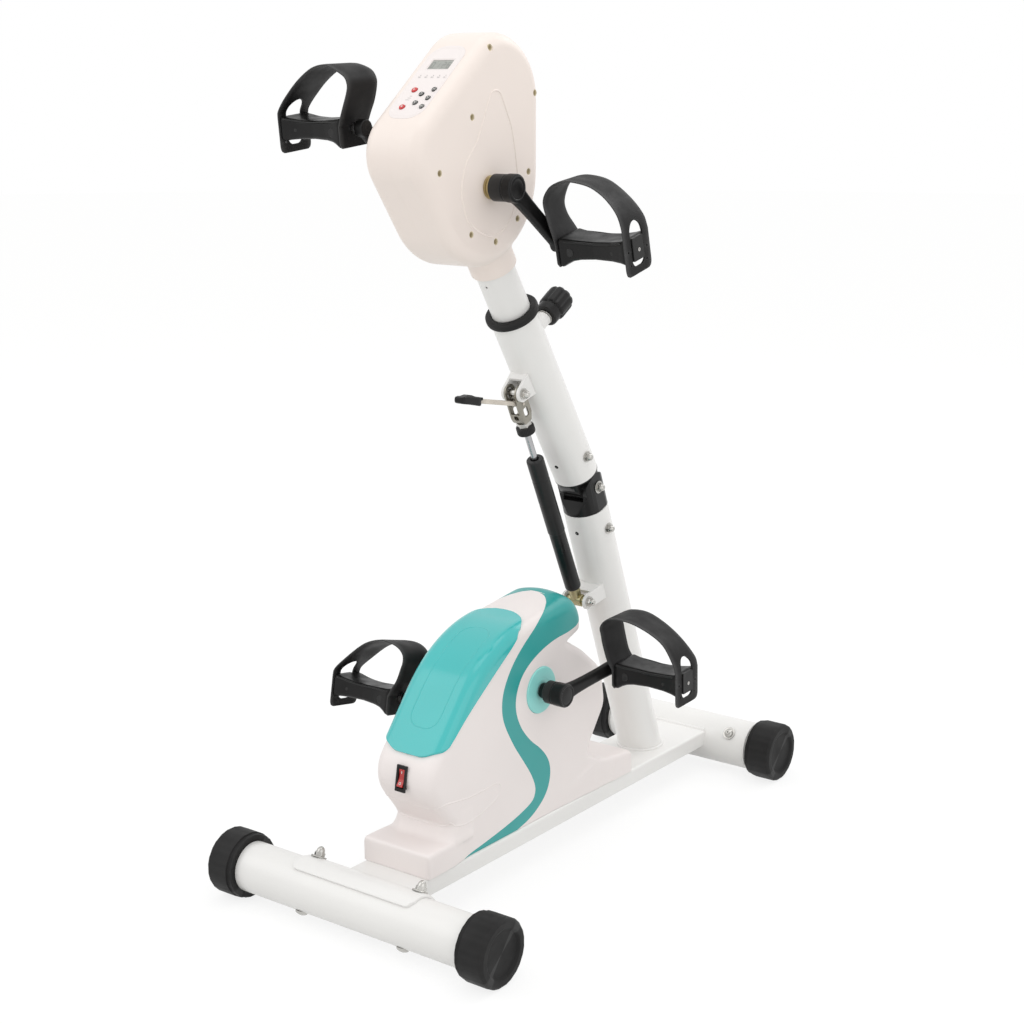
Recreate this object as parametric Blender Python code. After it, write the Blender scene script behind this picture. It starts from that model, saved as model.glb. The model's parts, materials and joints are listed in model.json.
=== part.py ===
# Limb rehabilitation machine: a tilting mast carries a motor console with hand cranks,
# and the base carries a second motor unit with foot cranks.
# Metres, +Z up. X is across the machine, the front foot lies at -Y, the floor is z = 0.
import math

import bmesh
import bpy
from mathutils import Euler, Vector

# Clearances
SEAT = 0.0003            # between pieces that rest on each other
RUN = 0.0004             # around a turning or sliding piece
SPLIT = 0.0003           # between the two halves of a housing

# Faces around a round piece
TUBE_FACES = 24
ROUND_FACES = 16
PIN_FACES = 12

# Base and feet
FOOT_SPACING = 0.700
FRONT_WIDTH = 0.408
REAR_WIDTH = 0.3048
FOOT_TUBE_R = 0.030
TUBE_WALL = 0.002
CAP_SIDES = 12
CAP_FLAT = 0.039         # from the axis to a flat side
CAP_LENGTH = 0.038
CAP_RIM = 0.006          # width of the stepped rim on the tube's side
CAP_RIM_DROP = 0.0015
CAP_END = 0.0055         # thickness of the closed end
CAP_DISH = 0.0030
SADDLE_HALF = 0.089
SADDLE_PLATE = 0.0035
SADDLE_FRONT_ANGLE = 34.0
SADDLE_REAR_ANGLE = 62.0
SLEEVE_END_GAP = 0.0044  # from the rear sleeve to the end caps
SLEEVE_HALF = REAR_WIDTH / 2 - CAP_LENGTH - SLEEVE_END_GAP
SLEEVE_WALL = 0.0022
CHANNEL_HALF = 0.0468
CHANNEL_TOP = 0.0566
CHANNEL_DEPTH = 0.0211
CHANNEL_WALL = 0.003
CHANNEL_EDGE = 0.003

# Tilt joint
PIVOT_Y = 0.0786
PIVOT_Z = 0.4453
POST_LEAN = 20.9         # degrees forward, going up
MAST_LEAN = 31.9
POST_R = 0.0286
POST_WALL = 0.0025
POST_TOP = 0.032         # below the pivot
CHEEK_R = 0.0191
TONGUE_R = 0.0194
TONGUE_HALF = 0.0147
CHEEK_FACE = 0.0270
SLOT_FLOOR = 0.0200
PLUG_LENGTH = 0.033
PIVOT_BOLT_R = 0.005
BOLT_HEAD_R = 0.008
BOLT_HEAD_H = 0.0050

# Mast
MAST_R = 0.028
MAST_WALL = 0.002
MAST_BOTTOM = 0.021      # above the pivot, along the mast
MAST_TOP = 0.266
MAST_RIM = 0.0009
MAST_PLUG_LENGTH = 0.036
INNER_R = 0.0234
INNER_BOTTOM = 0.112
INNER_SHORT = 0.0441     # from the inner tube's top to the console's spindle
SPINDLE_UP = 0.4471      # above the tilt pivot, along the mast
SPINDLE_R = 0.008
INNER_TOP = SPINDLE_UP - SPINDLE_R - INNER_SHORT
RING_R = 0.0323
RING_HEIGHT = 0.0097
RING_SLEEVE = 0.026
CLAMP_AT = 0.2265
CLAMP_BOSS_R = 0.009
CLAMP_BOSS_END = 0.048
CLAMP_SCREW_R = 0.004
KNOB_R = 0.0172
KNOB_SKIRT_R = 0.0150
KNOB_SKIRT = 0.012
KNOB_LENGTH = 0.040
KNOB_FLUTES = 10
WASHER = 0.0020

# Locking gas spring
SPRING_LOW_Y = 0.0735
SPRING_LOW_Z = 0.2960
LUG_OUT = 0.0457         # upper lug's pivot in front of the mast axis
LUG_UP = 0.187           # and above the tilt pivot, along the mast
LUG_R = 0.0098
LUG_PLATE = 0.0034
LUG_WEB = 0.0030
EYE_HALF = 0.0060
EYE_R = 0.0078
SPRING_PIN_R = 0.004
CYLINDER_R = 0.0102
CYLINDER_SLEEVE_R = 0.0109
CYLINDER_LENGTH = 0.2185
FITTING_LENGTH = 0.021
ROD_R = 0.004
ROD_INSIDE = 0.118
HEAD_LENGTH = 0.0400     # from the head's foot to its pivot
HEAD_HALF = 0.0086
HEAD_PLATE = 0.0022
HEAD_R = 0.0100
OPEN_PIVOT_PLAY = 0.0026
LEVER_BELOW = 0.0144
LEVER_REACH = 0.114
LEVER_PIN_R = 0.002
PADDLE_LENGTH = 0.036
PADDLE_HALF = 0.0065
LEVER_SLOPE = 0.22
LEVER_TALL = 0.0055

# Console
CONSOLE_HALF = 0.040
CONSOLE_EDGE = 0.016
SHELL_WALL = 0.003
COLLAR_R = 0.0275
COLLAR_BOTTOM = 0.111    # below the spindle
BUSH_R = 0.0130
BUSH_BODY_R = 0.0105
BUSH_FLANGE = 0.0072
BUSH_DEPTH = 0.0070
PANEL_HALF = 0.0245
PANEL_LENGTH = 0.118
PANEL_START = 0.047      # from the chin corner, along the sloping top
PANEL_PLATE = 0.0028
PANEL_ROUND = 0.019
WINDOW_HALF = 0.0150
WINDOW_LENGTH = 0.017
WINDOW_DEPTH = 0.0010
WINDOW_AT = 0.134
RED_BUTTON_R = 0.0034
GREY_BUTTON_R = 0.0030
BUTTON_PROUD = 0.0014
BUTTON_FLANGE = 0.0010

# Motor drive, the same in both units
DRIVEN_R = 0.036
DRIVER_R = 0.010
PULLEY_LIP = 0.002
PULLEY_X = 0.015
PULLEY_WIDTH = 0.012
BELT_THICK = 0.0014
MOTOR_R = 0.024
MOTOR_FACE = 0.010
SHAFT_R = 0.003
UPPER_MOTOR = (0.0614, 0.0560)    # from the spindle, across and along the mast
LOWER_MOTOR = (0.0697, -0.0472)   # from the spindle, rearward and up

# Lower unit
AXIS_Y = -0.0647
AXIS_Z = 0.2222
COVER_HALF = 0.044
COVER_EDGE = 0.013
COVER_CROWN = 0.009
BLOCK_HALF = 0.0485
DISC_R = 0.029
DISC_FACE = 0.0458
DISC_BODY = 0.0052
TRIM_THICK = 0.0025
SWITCH_Z = 0.164
SWITCH_TILT = -10.0
BEZEL_HALF = 0.0075
BEZEL_TALL = 0.0155
BEZEL_FLANGE = 0.0022
ROCKER_HALF = 0.0039
ROCKER_TALL = 0.0080
ROCKER_REST = -7.0

# Cranks and pedals
CRANK_LENGTH = 0.088
BOSS_R = 0.015
UPPER_BOSS_OUT = 0.078
LOWER_BOSS_OUT = 0.0829
UPPER_EYE = 0.088
LOWER_EYE = 0.092
BOSS_CAP = 0.008
HUB_WIDTH = 0.016
ARM_THICK = 0.012
ARM_WIDE = 0.0165
EYE_WIDE = 0.019
UPPER_ARM_ANGLE = -45.2
LOWER_ARM_ANGLE = 11.5
PEDAL_PIN_R = 0.005
COLLAR_PIN_R = 0.0065
FLAP_IN = 0.0139         # strap's inner flap, from the crank eye
FLAP_OUT = 0.104
STRAP_THICK = 0.0022
STRAP_HALF = 0.0245
STRAP_RISE = 0.072
PEDAL_TILTS = {"upper_right": 13.7, "upper_left": 6.3, "lower_right": 2.6, "lower_left": -10.0}

FOOT_AXIS = CAP_FLAT
FRONT_Y = -FOOT_SPACING / 2
REAR_Y = FOOT_SPACING / 2
PIVOT = Vector((0.0, PIVOT_Y, PIVOT_Z))


def material(name, color, roughness, metallic=0.0):
    mat = bpy.data.materials.new(name)
    mat.use_nodes = True
    shader = mat.node_tree.nodes["Principled BSDF"]
    shader.inputs["Base Color"].default_value = (*color, 1.0)
    shader.inputs["Roughness"].default_value = roughness
    shader.inputs["Metallic"].default_value = metallic
    return mat


def clear_scene():
    for ob in list(bpy.data.objects):
        bpy.data.objects.remove(ob, do_unlink=True)


def frame_at(name, location, lean=0.0):
    """An empty whose X axis is a joint axis, turned about it by lean degrees."""
    empty = bpy.data.objects.new(name, None)
    bpy.context.collection.objects.link(empty)
    empty.empty_display_size = 0.03
    empty.location = location
    empty.rotation_euler = Euler((math.radians(lean), 0.0, 0.0))
    return empty


def turned(point, degrees):
    """A (y, z) point turned about the X axis."""
    a = math.radians(degrees)
    y, z = point
    return (y * math.cos(a) - z * math.sin(a), y * math.sin(a) + z * math.cos(a))


def along(origin, point, degrees):
    """World position of a (y, z) point of a leaning frame."""
    y, z = turned(point, degrees)
    return Vector((0.0, origin[1] + y, origin[2] + z))


def solid(bm):
    bmesh.ops.remove_doubles(bm, verts=bm.verts, dist=1e-6)
    bmesh.ops.recalc_face_normals(bm, faces=bm.faces)
    mesh = bpy.data.meshes.new("solid")
    bm.to_mesh(mesh)
    bm.free()
    ob = bpy.data.objects.new("solid", mesh)
    bpy.context.collection.objects.link(ob)
    return ob


def loft(rings, closed=False):
    """A closed body through rings with the same number of points."""
    bm = bmesh.new()
    rows = [[bm.verts.new(p) for p in ring] for ring in rings]
    pairs = list(zip(rows, rows[1:]))
    if closed:
        pairs.append((rows[-1], rows[0]))
    for a, b in pairs:
        for i in range(len(a)):
            j = (i + 1) % len(a)
            bm.faces.new((a[i], a[j], b[j], b[i]))
    if not closed:
        bm.faces.new(rows[0][::-1])
        bm.faces.new(rows[-1])
    return solid(bm)


def prism(outline, x0, x1):
    """An outline of (y, z) points between two planes across X."""
    return loft([[(x, y, z) for y, z in outline] for x in (x0, x1)])


def lathe(profile, steps, axis="Z", phase=0.0, flutes=None):
    """A body turned from (radius, height) points; a closed ring if no radius is zero."""
    bm = bmesh.new()
    rows = []
    for radius, height in profile:
        if radius < 1e-7:
            rows.append([bm.verts.new((0.0, 0.0, height))])
            continue
        row = []
        for i in range(steps):
            a = 2 * math.pi * i / steps + phase
            r = flutes(radius, a) if flutes else radius
            row.append(bm.verts.new((r * math.cos(a), r * math.sin(a), height)))
        rows.append(row)
    pairs = list(zip(rows, rows[1:]))
    if all(len(row) > 1 for row in rows):
        pairs.append((rows[-1], rows[0]))
    for a, b in pairs:
        for i in range(steps):
            j = (i + 1) % steps
            corners = []
            for v in (a[i % len(a)], a[j % len(a)], b[j % len(b)], b[i % len(b)]):
                if v not in corners:
                    corners.append(v)
            bm.faces.new(corners)
    for v in bm.verts:
        x, y, z = v.co
        if axis == "X":
            v.co = (z, x, y)
        elif axis == "Y":
            v.co = (y, z, x)
    return solid(bm)


def rod(radius, start, end, steps=PIN_FACES, axis="X"):
    return lathe([(0, start), (radius, start), (radius, end), (0, end)], steps, axis)


def box(x0, x1, y0, y1, z0, z1):
    return prism([(y0, z0), (y1, z0), (y1, z1), (y0, z1)], x0, x1)


def moved(ob, x=0.0, y=0.0, z=0.0):
    for v in ob.data.vertices:
        v.co += Vector((x, y, z))
    return ob


def spun(ob, degrees):
    """Turns a mesh about the X axis."""
    for v in ob.data.vertices:
        v.co.y, v.co.z = turned((v.co.y, v.co.z), degrees)
    return ob


def mirrored(ob):
    """The same piece for the other side."""
    for v in ob.data.vertices:
        v.co.x = -v.co.x
    ob.data.flip_normals()
    return ob


def boolean(target, tool, operation):
    mod = target.modifiers.new("cut", "BOOLEAN")
    mod.operation = operation
    mod.solver = "EXACT"
    mod.object = tool
    bpy.context.view_layer.update()
    graph = bpy.context.evaluated_depsgraph_get()
    mesh = bpy.data.meshes.new_from_object(target.evaluated_get(graph))
    target.modifiers.remove(mod)
    target.data = mesh
    bpy.data.objects.remove(tool, do_unlink=True)
    bm = bmesh.new()
    bm.from_mesh(mesh)
    bmesh.ops.remove_doubles(bm, verts=bm.verts, dist=2e-6)
    bmesh.ops.dissolve_degenerate(bm, edges=bm.edges, dist=2e-6)
    bm.to_mesh(mesh)
    bm.free()
    return target


def cut(target, *tools):
    for tool in tools:
        boolean(target, tool, "DIFFERENCE")
    return target


def join(target, *tools):
    for tool in tools:
        boolean(target, tool, "UNION")
    return target


def keep(target, tool):
    return boolean(target, tool, "INTERSECT")


def node(name, ob, mat, frame=None, location=(0.0, 0.0, 0.0)):
    ob.name = name
    ob.data.name = name
    ob.data.materials.clear()
    ob.data.materials.append(mat)
    ob.data.shade_smooth()
    ob.data.set_sharp_from_angle(angle=math.radians(32))
    ob.location = location
    if frame:
        ob.parent = frame
    return ob


def rounded(corners, inset=0.0, turn_step=15.0):
    """Outline of (y, z) points through (y, z, fillet) corners, anticlockwise, moved inward."""
    points = []
    count = len(corners)
    for i, (y, z, fillet) in enumerate(corners):
        here = Vector((y, z))
        into = (here - Vector(corners[i - 1][:2])).normalized()
        out = (Vector(corners[(i + 1) % count][:2]) - here).normalized()
        bend = math.atan2(into.x * out.y - into.y * out.x, into.dot(out))
        side = 1.0 if bend > 0 else -1.0
        radius = max(fillet - side * inset, 0.0002)
        left_in = Vector((-into.y, into.x))
        left_out = Vector((-out.y, out.x))
        middle = (left_in + left_out) / (1.0 + left_in.dot(left_out))
        corner = here + middle * inset
        start = corner - into * radius * math.tan(abs(bend) / 2)
        centre = start + left_in * radius * side
        steps = max(1, round(abs(math.degrees(bend)) / turn_step))
        for k in range(steps + 1):
            a = bend * k / steps
            spoke = start - centre
            points.append((centre.x + spoke.x * math.cos(a) - spoke.y * math.sin(a),
                           centre.y + spoke.x * math.sin(a) + spoke.y * math.cos(a)))
    return points


def rounded_box(y0, y1, z0, z1, fillet, turn_step=30.0):
    return rounded([(y0, z0, fillet), (y1, z0, fillet), (y1, z1, fillet), (y0, z1, fillet)],
                   turn_step=turn_step)


def edge_rows(half, edge, steps=3):
    """(x, inset) rows of a housing half, from its joint face to its outer face."""
    rows = [(half - edge, 0.0)]
    for k in range(1, steps + 1):
        a = math.radians(90.0) * k / steps
        rows.append((half - edge + edge * math.sin(a), edge * (1 - math.cos(a))))
    return rows


def housing(corners, start, half, edge, inset=0.0, shift=None, inner_rows=(), turn_step=15.0,
            steps=None):
    steps = steps or (3 if inset == 0.0 else 2)
    rows = [(x, 0.0) for x in inner_rows] + edge_rows(half, edge, steps)
    if start is None:
        rows = [(-x, extra) for x, extra in reversed(rows)] + rows
    else:
        rows = [(start, 0.0)] + rows
    rings = []
    for x, extra in rows:
        ring = [(x, y, z) for y, z in rounded(corners, inset + extra, turn_step)]
        rings.append([shift(p) for p in ring] if shift else ring)
    return loft(rings)


def smooth_path(points, steps):
    """A Catmull-Rom curve through the points."""
    pts = [Vector(p) for p in points]
    pts = [2 * pts[0] - pts[1]] + pts + [2 * pts[-1] - pts[-2]]
    path = []
    for i in range(1, len(pts) - 2):
        a, b, c, d = pts[i - 1:i + 3]
        for k in range(steps):
            t = k / steps
            path.append(0.5 * (2 * b + (c - a) * t + (2 * a - 5 * b + 4 * c - d) * t * t
                               + (3 * b - a - 3 * c + d) * t ** 3))
    path.append(pts[-2])
    return path


def belt_outline(first, first_r, second, second_r, steps=10):
    """A taut belt's outline, flats outside both pulleys, as (y, z) points."""
    a, b = Vector(first), Vector(second)
    line = b - a
    heading = math.atan2(line.y, line.x)
    lean = math.acos((first_r - second_r) / line.length)
    points = []
    for centre, radius, start, sweep in ((a, first_r, heading + lean, 2 * (math.pi - lean)),
                                         (b, second_r, heading - lean, 2 * lean)):
        corner = radius / math.cos(sweep / steps / 2)
        for k in range(steps + 1):
            t = start + sweep * k / steps
            points.append((centre.x + corner * math.cos(t), centre.y + corner * math.sin(t)))
    return points


# Base


def make_base(steel):
    top, low = CHANNEL_TOP, CHANNEL_TOP - CHANNEL_DEPTH
    section = []
    for side in (-1.0, 1.0):
        for k in range(4):
            a = math.radians(180 - 30 * k if side < 0 else 90 - 30 * k)
            x = side * (CHANNEL_HALF - CHANNEL_EDGE) + CHANNEL_EDGE * math.cos(a)
            section.append((x, top - CHANNEL_EDGE + CHANNEL_EDGE * math.sin(a)))
    inner = CHANNEL_HALF - CHANNEL_WALL
    section += [(CHANNEL_HALF, low), (inner, low), (inner, top - CHANNEL_WALL)]
    section += [(-inner, top - CHANNEL_WALL), (-inner, low), (-CHANNEL_HALF, low)]
    ends = (FRONT_Y + FOOT_TUBE_R / 3, REAR_Y - FOOT_TUBE_R / 3)
    frame = loft([[(x, y, z) for x, z in section] for y in ends])
    inside, outside = FOOT_TUBE_R * 0.7, FOOT_TUBE_R + SEAT + SADDLE_PLATE
    arc = [math.radians(90 + SADDLE_FRONT_ANGLE
                        - (SADDLE_FRONT_ANGLE + SADDLE_REAR_ANGLE) * k / 12) for k in range(13)]
    outline = [(outside * math.cos(a), outside * math.sin(a)) for a in arc]
    outline += [(inside * math.cos(a), inside * math.sin(a)) for a in reversed(arc)]
    saddle = moved(prism(outline, -SADDLE_HALF, SADDLE_HALF), y=FRONT_Y, z=FOOT_AXIS)
    bore = FOOT_TUBE_R + SEAT
    sleeve = moved(rod(bore + SLEEVE_WALL, -SLEEVE_HALF, SLEEVE_HALF, TUBE_FACES), y=REAR_Y, z=FOOT_AXIS)
    join(frame, saddle, sleeve)
    cut(frame, moved(rod(bore, -0.2, 0.2, TUBE_FACES), y=FRONT_Y, z=FOOT_AXIS))
    cut(frame, moved(rod(bore, -0.2, 0.2, TUBE_FACES), y=REAR_Y, z=FOOT_AXIS))
    node("base_frame", frame, steel)


def make_foot(name, y, width, steel, rubber):
    half = width / 2
    end = half - CAP_END - SEAT
    tube = lathe([(FOOT_TUBE_R, -end), (FOOT_TUBE_R, end),
                  (FOOT_TUBE_R - TUBE_WALL, end), (FOOT_TUBE_R - TUBE_WALL, -end)], TUBE_FACES, "X")
    node(name + "_foot_tube", tube, steel, location=(0.0, y, FOOT_AXIS))
    corner = CAP_FLAT / math.cos(math.pi / CAP_SIDES)
    rim = corner - CAP_RIM_DROP
    start = half - CAP_LENGTH
    body = [(0, start), (rim, start), (rim, start + CAP_RIM), (corner, start + CAP_RIM),
            (corner, half - CAP_DISH), (corner - CAP_DISH, half), (0, half)]
    for side, word in ((1, "right"), (-1, "left")):
        cap = lathe(body, CAP_SIDES, "X", phase=math.pi / CAP_SIDES)
        dish = lathe([(0, half - CAP_DISH), (FOOT_TUBE_R - 0.009, half - CAP_DISH),
                      (FOOT_TUBE_R - 0.003, half + 0.001), (0, half + 0.001)], ROUND_FACES, "X")
        cut(cap, rod(FOOT_TUBE_R + SEAT, start - 0.01, half - CAP_END, TUBE_FACES), dish)
        if side < 0:
            mirrored(cap)
        node(f"{name}_foot_cap_{word}", cap, rubber, location=(0.0, y, FOOT_AXIS))


# Tilt joint, post and mast


def ears(pivot, root_y, inside, root_low, root_high):
    """Two lug plates from a tube's wall to a round end about a cross pin, joined by a web above."""
    plates = []
    py, pz = pivot
    turn = [math.radians(90 + 22.5 * k) for k in range(9)]
    outline = [(py + LUG_R * math.cos(a), pz + LUG_R * math.sin(a)) for a in turn]
    outline += [(root_y, pz - root_low), (root_y, pz + root_high)]
    for side in (1, -1):
        a, b = sorted((side * inside, side * (inside + LUG_PLATE)))
        plates.append(prism(outline, a, b))
    slope = (root_high - LUG_R) / (root_y - py)
    near, far = py + LUG_R + 0.001, root_y
    web = [(y, pz + LUG_R + slope * (y - py) - drop) for y, drop in
           ((far, 0.0), (near, 0.0), (near, LUG_WEB), (far, LUG_WEB))]
    plates.append(prism(web, -inside - 0.001, inside + 0.001))
    return plates


def make_post(frame, steel):
    floor = CHANNEL_TOP + SEAT
    lean = math.radians(POST_LEAN)
    rings = []
    for radius_y in (True, False):
        ring = []
        for k in range(TUBE_FACES):
            a = 2 * math.pi * k / TUBE_FACES
            x, y = POST_R * math.cos(a), POST_R * math.sin(a)
            low = (floor - PIVOT_Z - y * math.sin(lean)) / math.cos(lean)
            ring.append((x, y, low if radius_y else -POST_TOP))
        rings.append(ring)
    post = loft(rings)
    low_pin = turned((SPRING_LOW_Y - PIVOT_Y, SPRING_LOW_Z - PIVOT_Z), -POST_LEAN)
    inside = EYE_HALF + 2 * SEAT
    join(post, *ears(low_pin, -(POST_R - POST_WALL), inside, LUG_R * 1.8, LUG_R * 1.3))
    cut(post, rod(POST_R - POST_WALL, -0.5, 0.0, TUBE_FACES, "Z"))
    cut(post, moved(rod(SPRING_PIN_R + SEAT, -0.05, 0.05), y=low_pin[0], z=low_pin[1]))
    node("lower_post", post, steel, frame)
    return inside + LUG_PLATE


def make_knuckles(post_frame, mast_frame, black, zinc):
    wide, low = POST_R, -POST_TOP + SEAT
    taper = [math.radians(-20 + 20 * k) for k in range(12)]
    dome = [(CHEEK_R * math.cos(a), CHEEK_R * math.sin(a)) for a in taper]
    outline = [(-wide, low), (wide, low), (wide, low + 0.004)] + dome + [(-wide, low + 0.004)]
    fork = prism(outline, -CHEEK_FACE, CHEEK_FACE)
    keep(fork, rod(POST_R - SEAT, low - 0.01, 0.05, TUBE_FACES, "Z"))
    plug = POST_R - POST_WALL - SEAT
    join(fork, rod(plug, low - PLUG_LENGTH, low + 0.002, TUBE_FACES, "Z"))
    slot = TONGUE_HALF + SEAT
    cut(fork, box(-slot, slot, -0.05, 0.05, -SLOT_FLOOR * 0.6, 0.05), rod(SLOT_FLOOR, -slot, slot, TUBE_FACES))
    cut(fork, rod(PIVOT_BOLT_R + SEAT, -0.05, 0.05))
    node("post_knuckle", fork, black, post_frame)

    base = MAST_BOTTOM - SEAT
    foot = base - MAST_RIM
    lower = [math.radians(180 + 18 * k) for k in range(11)]
    outline = [(TONGUE_R * math.cos(a), TONGUE_R * math.sin(a)) for a in lower]
    outline += [(MAST_R - 0.001, foot + 0.0004), (-MAST_R + 0.001, foot + 0.0004)]
    tongue = prism(outline, -TONGUE_HALF, TONGUE_HALF)
    keep(tongue, rod(MAST_R - 0.0005, -0.05, 0.05, TUBE_FACES, "Z"))
    plug = MAST_R - MAST_WALL - SEAT
    top = base + MAST_PLUG_LENGTH
    join(tongue, lathe([(0, foot), (MAST_R, foot), (MAST_R, base), (plug, base),
                        (plug, top), (0, top)], TUBE_FACES, "Z"))
    cut(tongue, rod(PIVOT_BOLT_R + RUN, -0.05, 0.05))
    node("mast_knuckle", tongue, black, mast_frame)

    node("pivot_bolt", cross_pin(PIVOT_BOLT_R, CHEEK_FACE + SEAT, BOLT_HEAD_R, BOLT_HEAD_H),
         zinc, post_frame)


def cross_pin(radius, seat, head_r, head_h):
    """A bolt across X with its head and dome nut."""
    half = [(radius, seat), (head_r, seat), (head_r, seat + head_h * 0.7),
            (head_r * 0.75, seat + head_h), (0, seat + head_h)]
    return lathe([(r, -x) for r, x in reversed(half)] + half, PIN_FACES, "X")


def make_mast(frame, steel, black, zinc):
    wall_r = MAST_R - MAST_WALL
    mast = rod(MAST_R, MAST_BOTTOM, MAST_TOP, TUBE_FACES, "Z")
    inside = HEAD_HALF + 2 * SEAT
    join(mast, *ears((-LUG_OUT, LUG_UP), -(wall_r - MAST_WALL), inside, LUG_R * 1.6, LUG_R * 1.9))
    join(mast, moved(rod(CLAMP_BOSS_R, wall_r - 0.004, CLAMP_BOSS_END, ROUND_FACES, "Y"), z=CLAMP_AT))
    cut(mast, rod(wall_r, 0.0, 0.5, TUBE_FACES, "Z"))
    cut(mast, moved(rod(CLAMP_SCREW_R + SEAT, 0.0, 0.1, PIN_FACES, "Y"), z=CLAMP_AT))
    cut(mast, moved(rod(SPRING_PIN_R + SEAT, -0.05, 0.05), y=-LUG_OUT, z=LUG_UP))
    node("mast_outer_tube", mast, steel, frame)

    bore = INNER_R + RUN
    seat = MAST_TOP + SEAT
    top = seat + RING_HEIGHT
    ring = lathe([(bore, seat - RING_SLEEVE), (wall_r - SEAT, seat - RING_SLEEVE),
                  (wall_r - SEAT, seat), (RING_R, seat), (RING_R, top - 0.0015),
                  (RING_R - 0.0015, top), (bore, top)], TUBE_FACES, "Z")
    node("mast_collar_ring", ring, black, frame)

    tube = lathe([(INNER_R, INNER_BOTTOM), (INNER_R, INNER_TOP),
                  (INNER_R - TUBE_WALL, INNER_TOP), (INNER_R - TUBE_WALL, INNER_BOTTOM)], TUBE_FACES, "Z")
    node("mast_inner_tube", tube, steel, frame)

    tip = INNER_R + RUN
    start = CLAMP_BOSS_END + WASHER + SEAT
    end = start + KNOB_LENGTH
    skirt = start + KNOB_SKIRT

    def grip(radius, angle):
        if radius < KNOB_SKIRT_R * 0.8:
            return radius
        return radius * (1.0 - 0.035 * (1 + math.cos(KNOB_FLUTES * angle)))

    profile = [(0, tip), (CLAMP_SCREW_R, tip), (CLAMP_SCREW_R, start - WASHER),
               (CLAMP_BOSS_R, start - WASHER), (CLAMP_BOSS_R, start), (KNOB_SKIRT_R, start),
               (KNOB_SKIRT_R, skirt), (KNOB_R, skirt + 0.003), (KNOB_R, end - 0.004),
               (KNOB_R - 0.004, end), (0, end)]
    knob = lathe(profile, KNOB_FLUTES * 3, "Y", flutes=grip)
    node("clamp_knob", moved(knob, y=-start), black, frame, (0.0, start, CLAMP_AT))
    return inside + LUG_PLATE


# Locking gas spring


def make_spring(frame, length, low_seat, black, zinc):
    body = lathe([(0, 0.004), (0.0060, 0.004), (0.0072, FITTING_LENGTH - 0.002),
                  (CYLINDER_R - 0.0015, FITTING_LENGTH), (CYLINDER_R, FITTING_LENGTH + 0.002),
                  (CYLINDER_R, CYLINDER_LENGTH * 0.55),
                  (CYLINDER_SLEEVE_R, CYLINDER_LENGTH * 0.55 + 0.001),
                  (CYLINDER_SLEEVE_R, CYLINDER_LENGTH), (0, CYLINDER_LENGTH)], ROUND_FACES, "Z")
    join(body, rod(EYE_R, -EYE_HALF, EYE_HALF, ROUND_FACES))
    head_foot = length - HEAD_LENGTH
    nut = head_foot - SEAT
    inner_end = CYLINDER_LENGTH - ROD_INSIDE
    cut(body, rod(SPRING_PIN_R + RUN, -0.05, 0.05))
    cut(body, rod(ROD_R + RUN, inner_end - 0.030, CYLINDER_LENGTH + 0.01, PIN_FACES, "Z"))
    node("gas_spring_cylinder", body, black, frame)

    piston = lathe([(0, inner_end), (ROD_R, inner_end), (ROD_R, nut - 0.0165), (0.0108, nut - 0.0165),
                    (0.0112, nut - 0.0070), (0.0088, nut - 0.0060), (0.0088, nut), (ROD_R, nut),
                    (ROD_R, nut + 0.008), (0, nut + 0.008)], PIN_FACES, "Z")
    node("gas_spring_rod", piston, zinc, frame)

    turn = [math.radians(22.5 * k) for k in range(9)]
    outline = [(-HEAD_R * 0.88, head_foot), (HEAD_R * 0.88, head_foot)]
    outline += [(HEAD_R * math.cos(a), length + HEAD_R * math.sin(a)) for a in turn]
    head = prism(outline, -HEAD_HALF, HEAD_HALF)
    inner = HEAD_HALF - HEAD_PLATE
    web = -HEAD_R + HEAD_PLATE
    cut(head, box(-inner, inner, web, 0.02, head_foot + 0.004, length + 0.03))
    cut(head, box(-inner, inner, -0.02, web + 0.001, head_foot + 0.018, length + 0.03))
    cut(head, rod(ROD_R + SEAT, head_foot - 0.01, head_foot + 0.02, PIN_FACES, "Z"))
    cut(head, moved(rod(SPRING_PIN_R + OPEN_PIVOT_PLAY, -0.05, 0.05), z=length))
    cut(head, moved(rod(LEVER_PIN_R + RUN, -0.05, 0.05), z=length - LEVER_BELOW))
    node("release_head", head, zinc, frame)

    pin = cross_pin(SPRING_PIN_R, low_seat + SEAT, 0.0068, 0.0050)
    node("spring_pin_lower", pin, zinc, frame)
    return inner


def make_lever(frame, inner, black):
    half = inner - 2 * SEAT
    tall = LEVER_TALL / 2

    def bar(reach):
        return -0.001 + LEVER_SLOPE * reach

    tail = LEVER_REACH - PADDLE_LENGTH
    outline = [(0.0045, bar(0) - tall), (0.0045, bar(0) + tall),
               (-tail - 0.006, bar(tail + 0.006) + tall), (-tail - 0.006, bar(tail + 0.006) - tall)]
    lever = prism(outline, -half, half)
    join(lever, rod(LEVER_PIN_R, -HEAD_HALF - 0.0004, HEAD_HALF + 0.0004, 12))
    rings = []
    for reach, wide, low, high in ((tail - 0.002, 0.80, 0.0030, 0.0030), (tail + 0.001, 1.0, 0.0062, 0.0044),
                                   (tail + 0.009, 1.0, 0.0050, 0.0060), (tail + 0.020, 1.0, 0.0048, 0.0052),
                                   (LEVER_REACH - 0.004, 1.0, 0.0046, 0.0048),
                                   (LEVER_REACH, 0.80, 0.0030, 0.0026)):
        ring = rounded_box(-PADDLE_HALF * wide, PADDLE_HALF * wide, bar(reach) - low, bar(reach) + high,
                           0.0022)
        rings.append([(a, -reach, b) for a, b in ring])
    join(lever, loft(rings))
    node("release_lever", lever, black, frame)


# Motor drive


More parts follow.
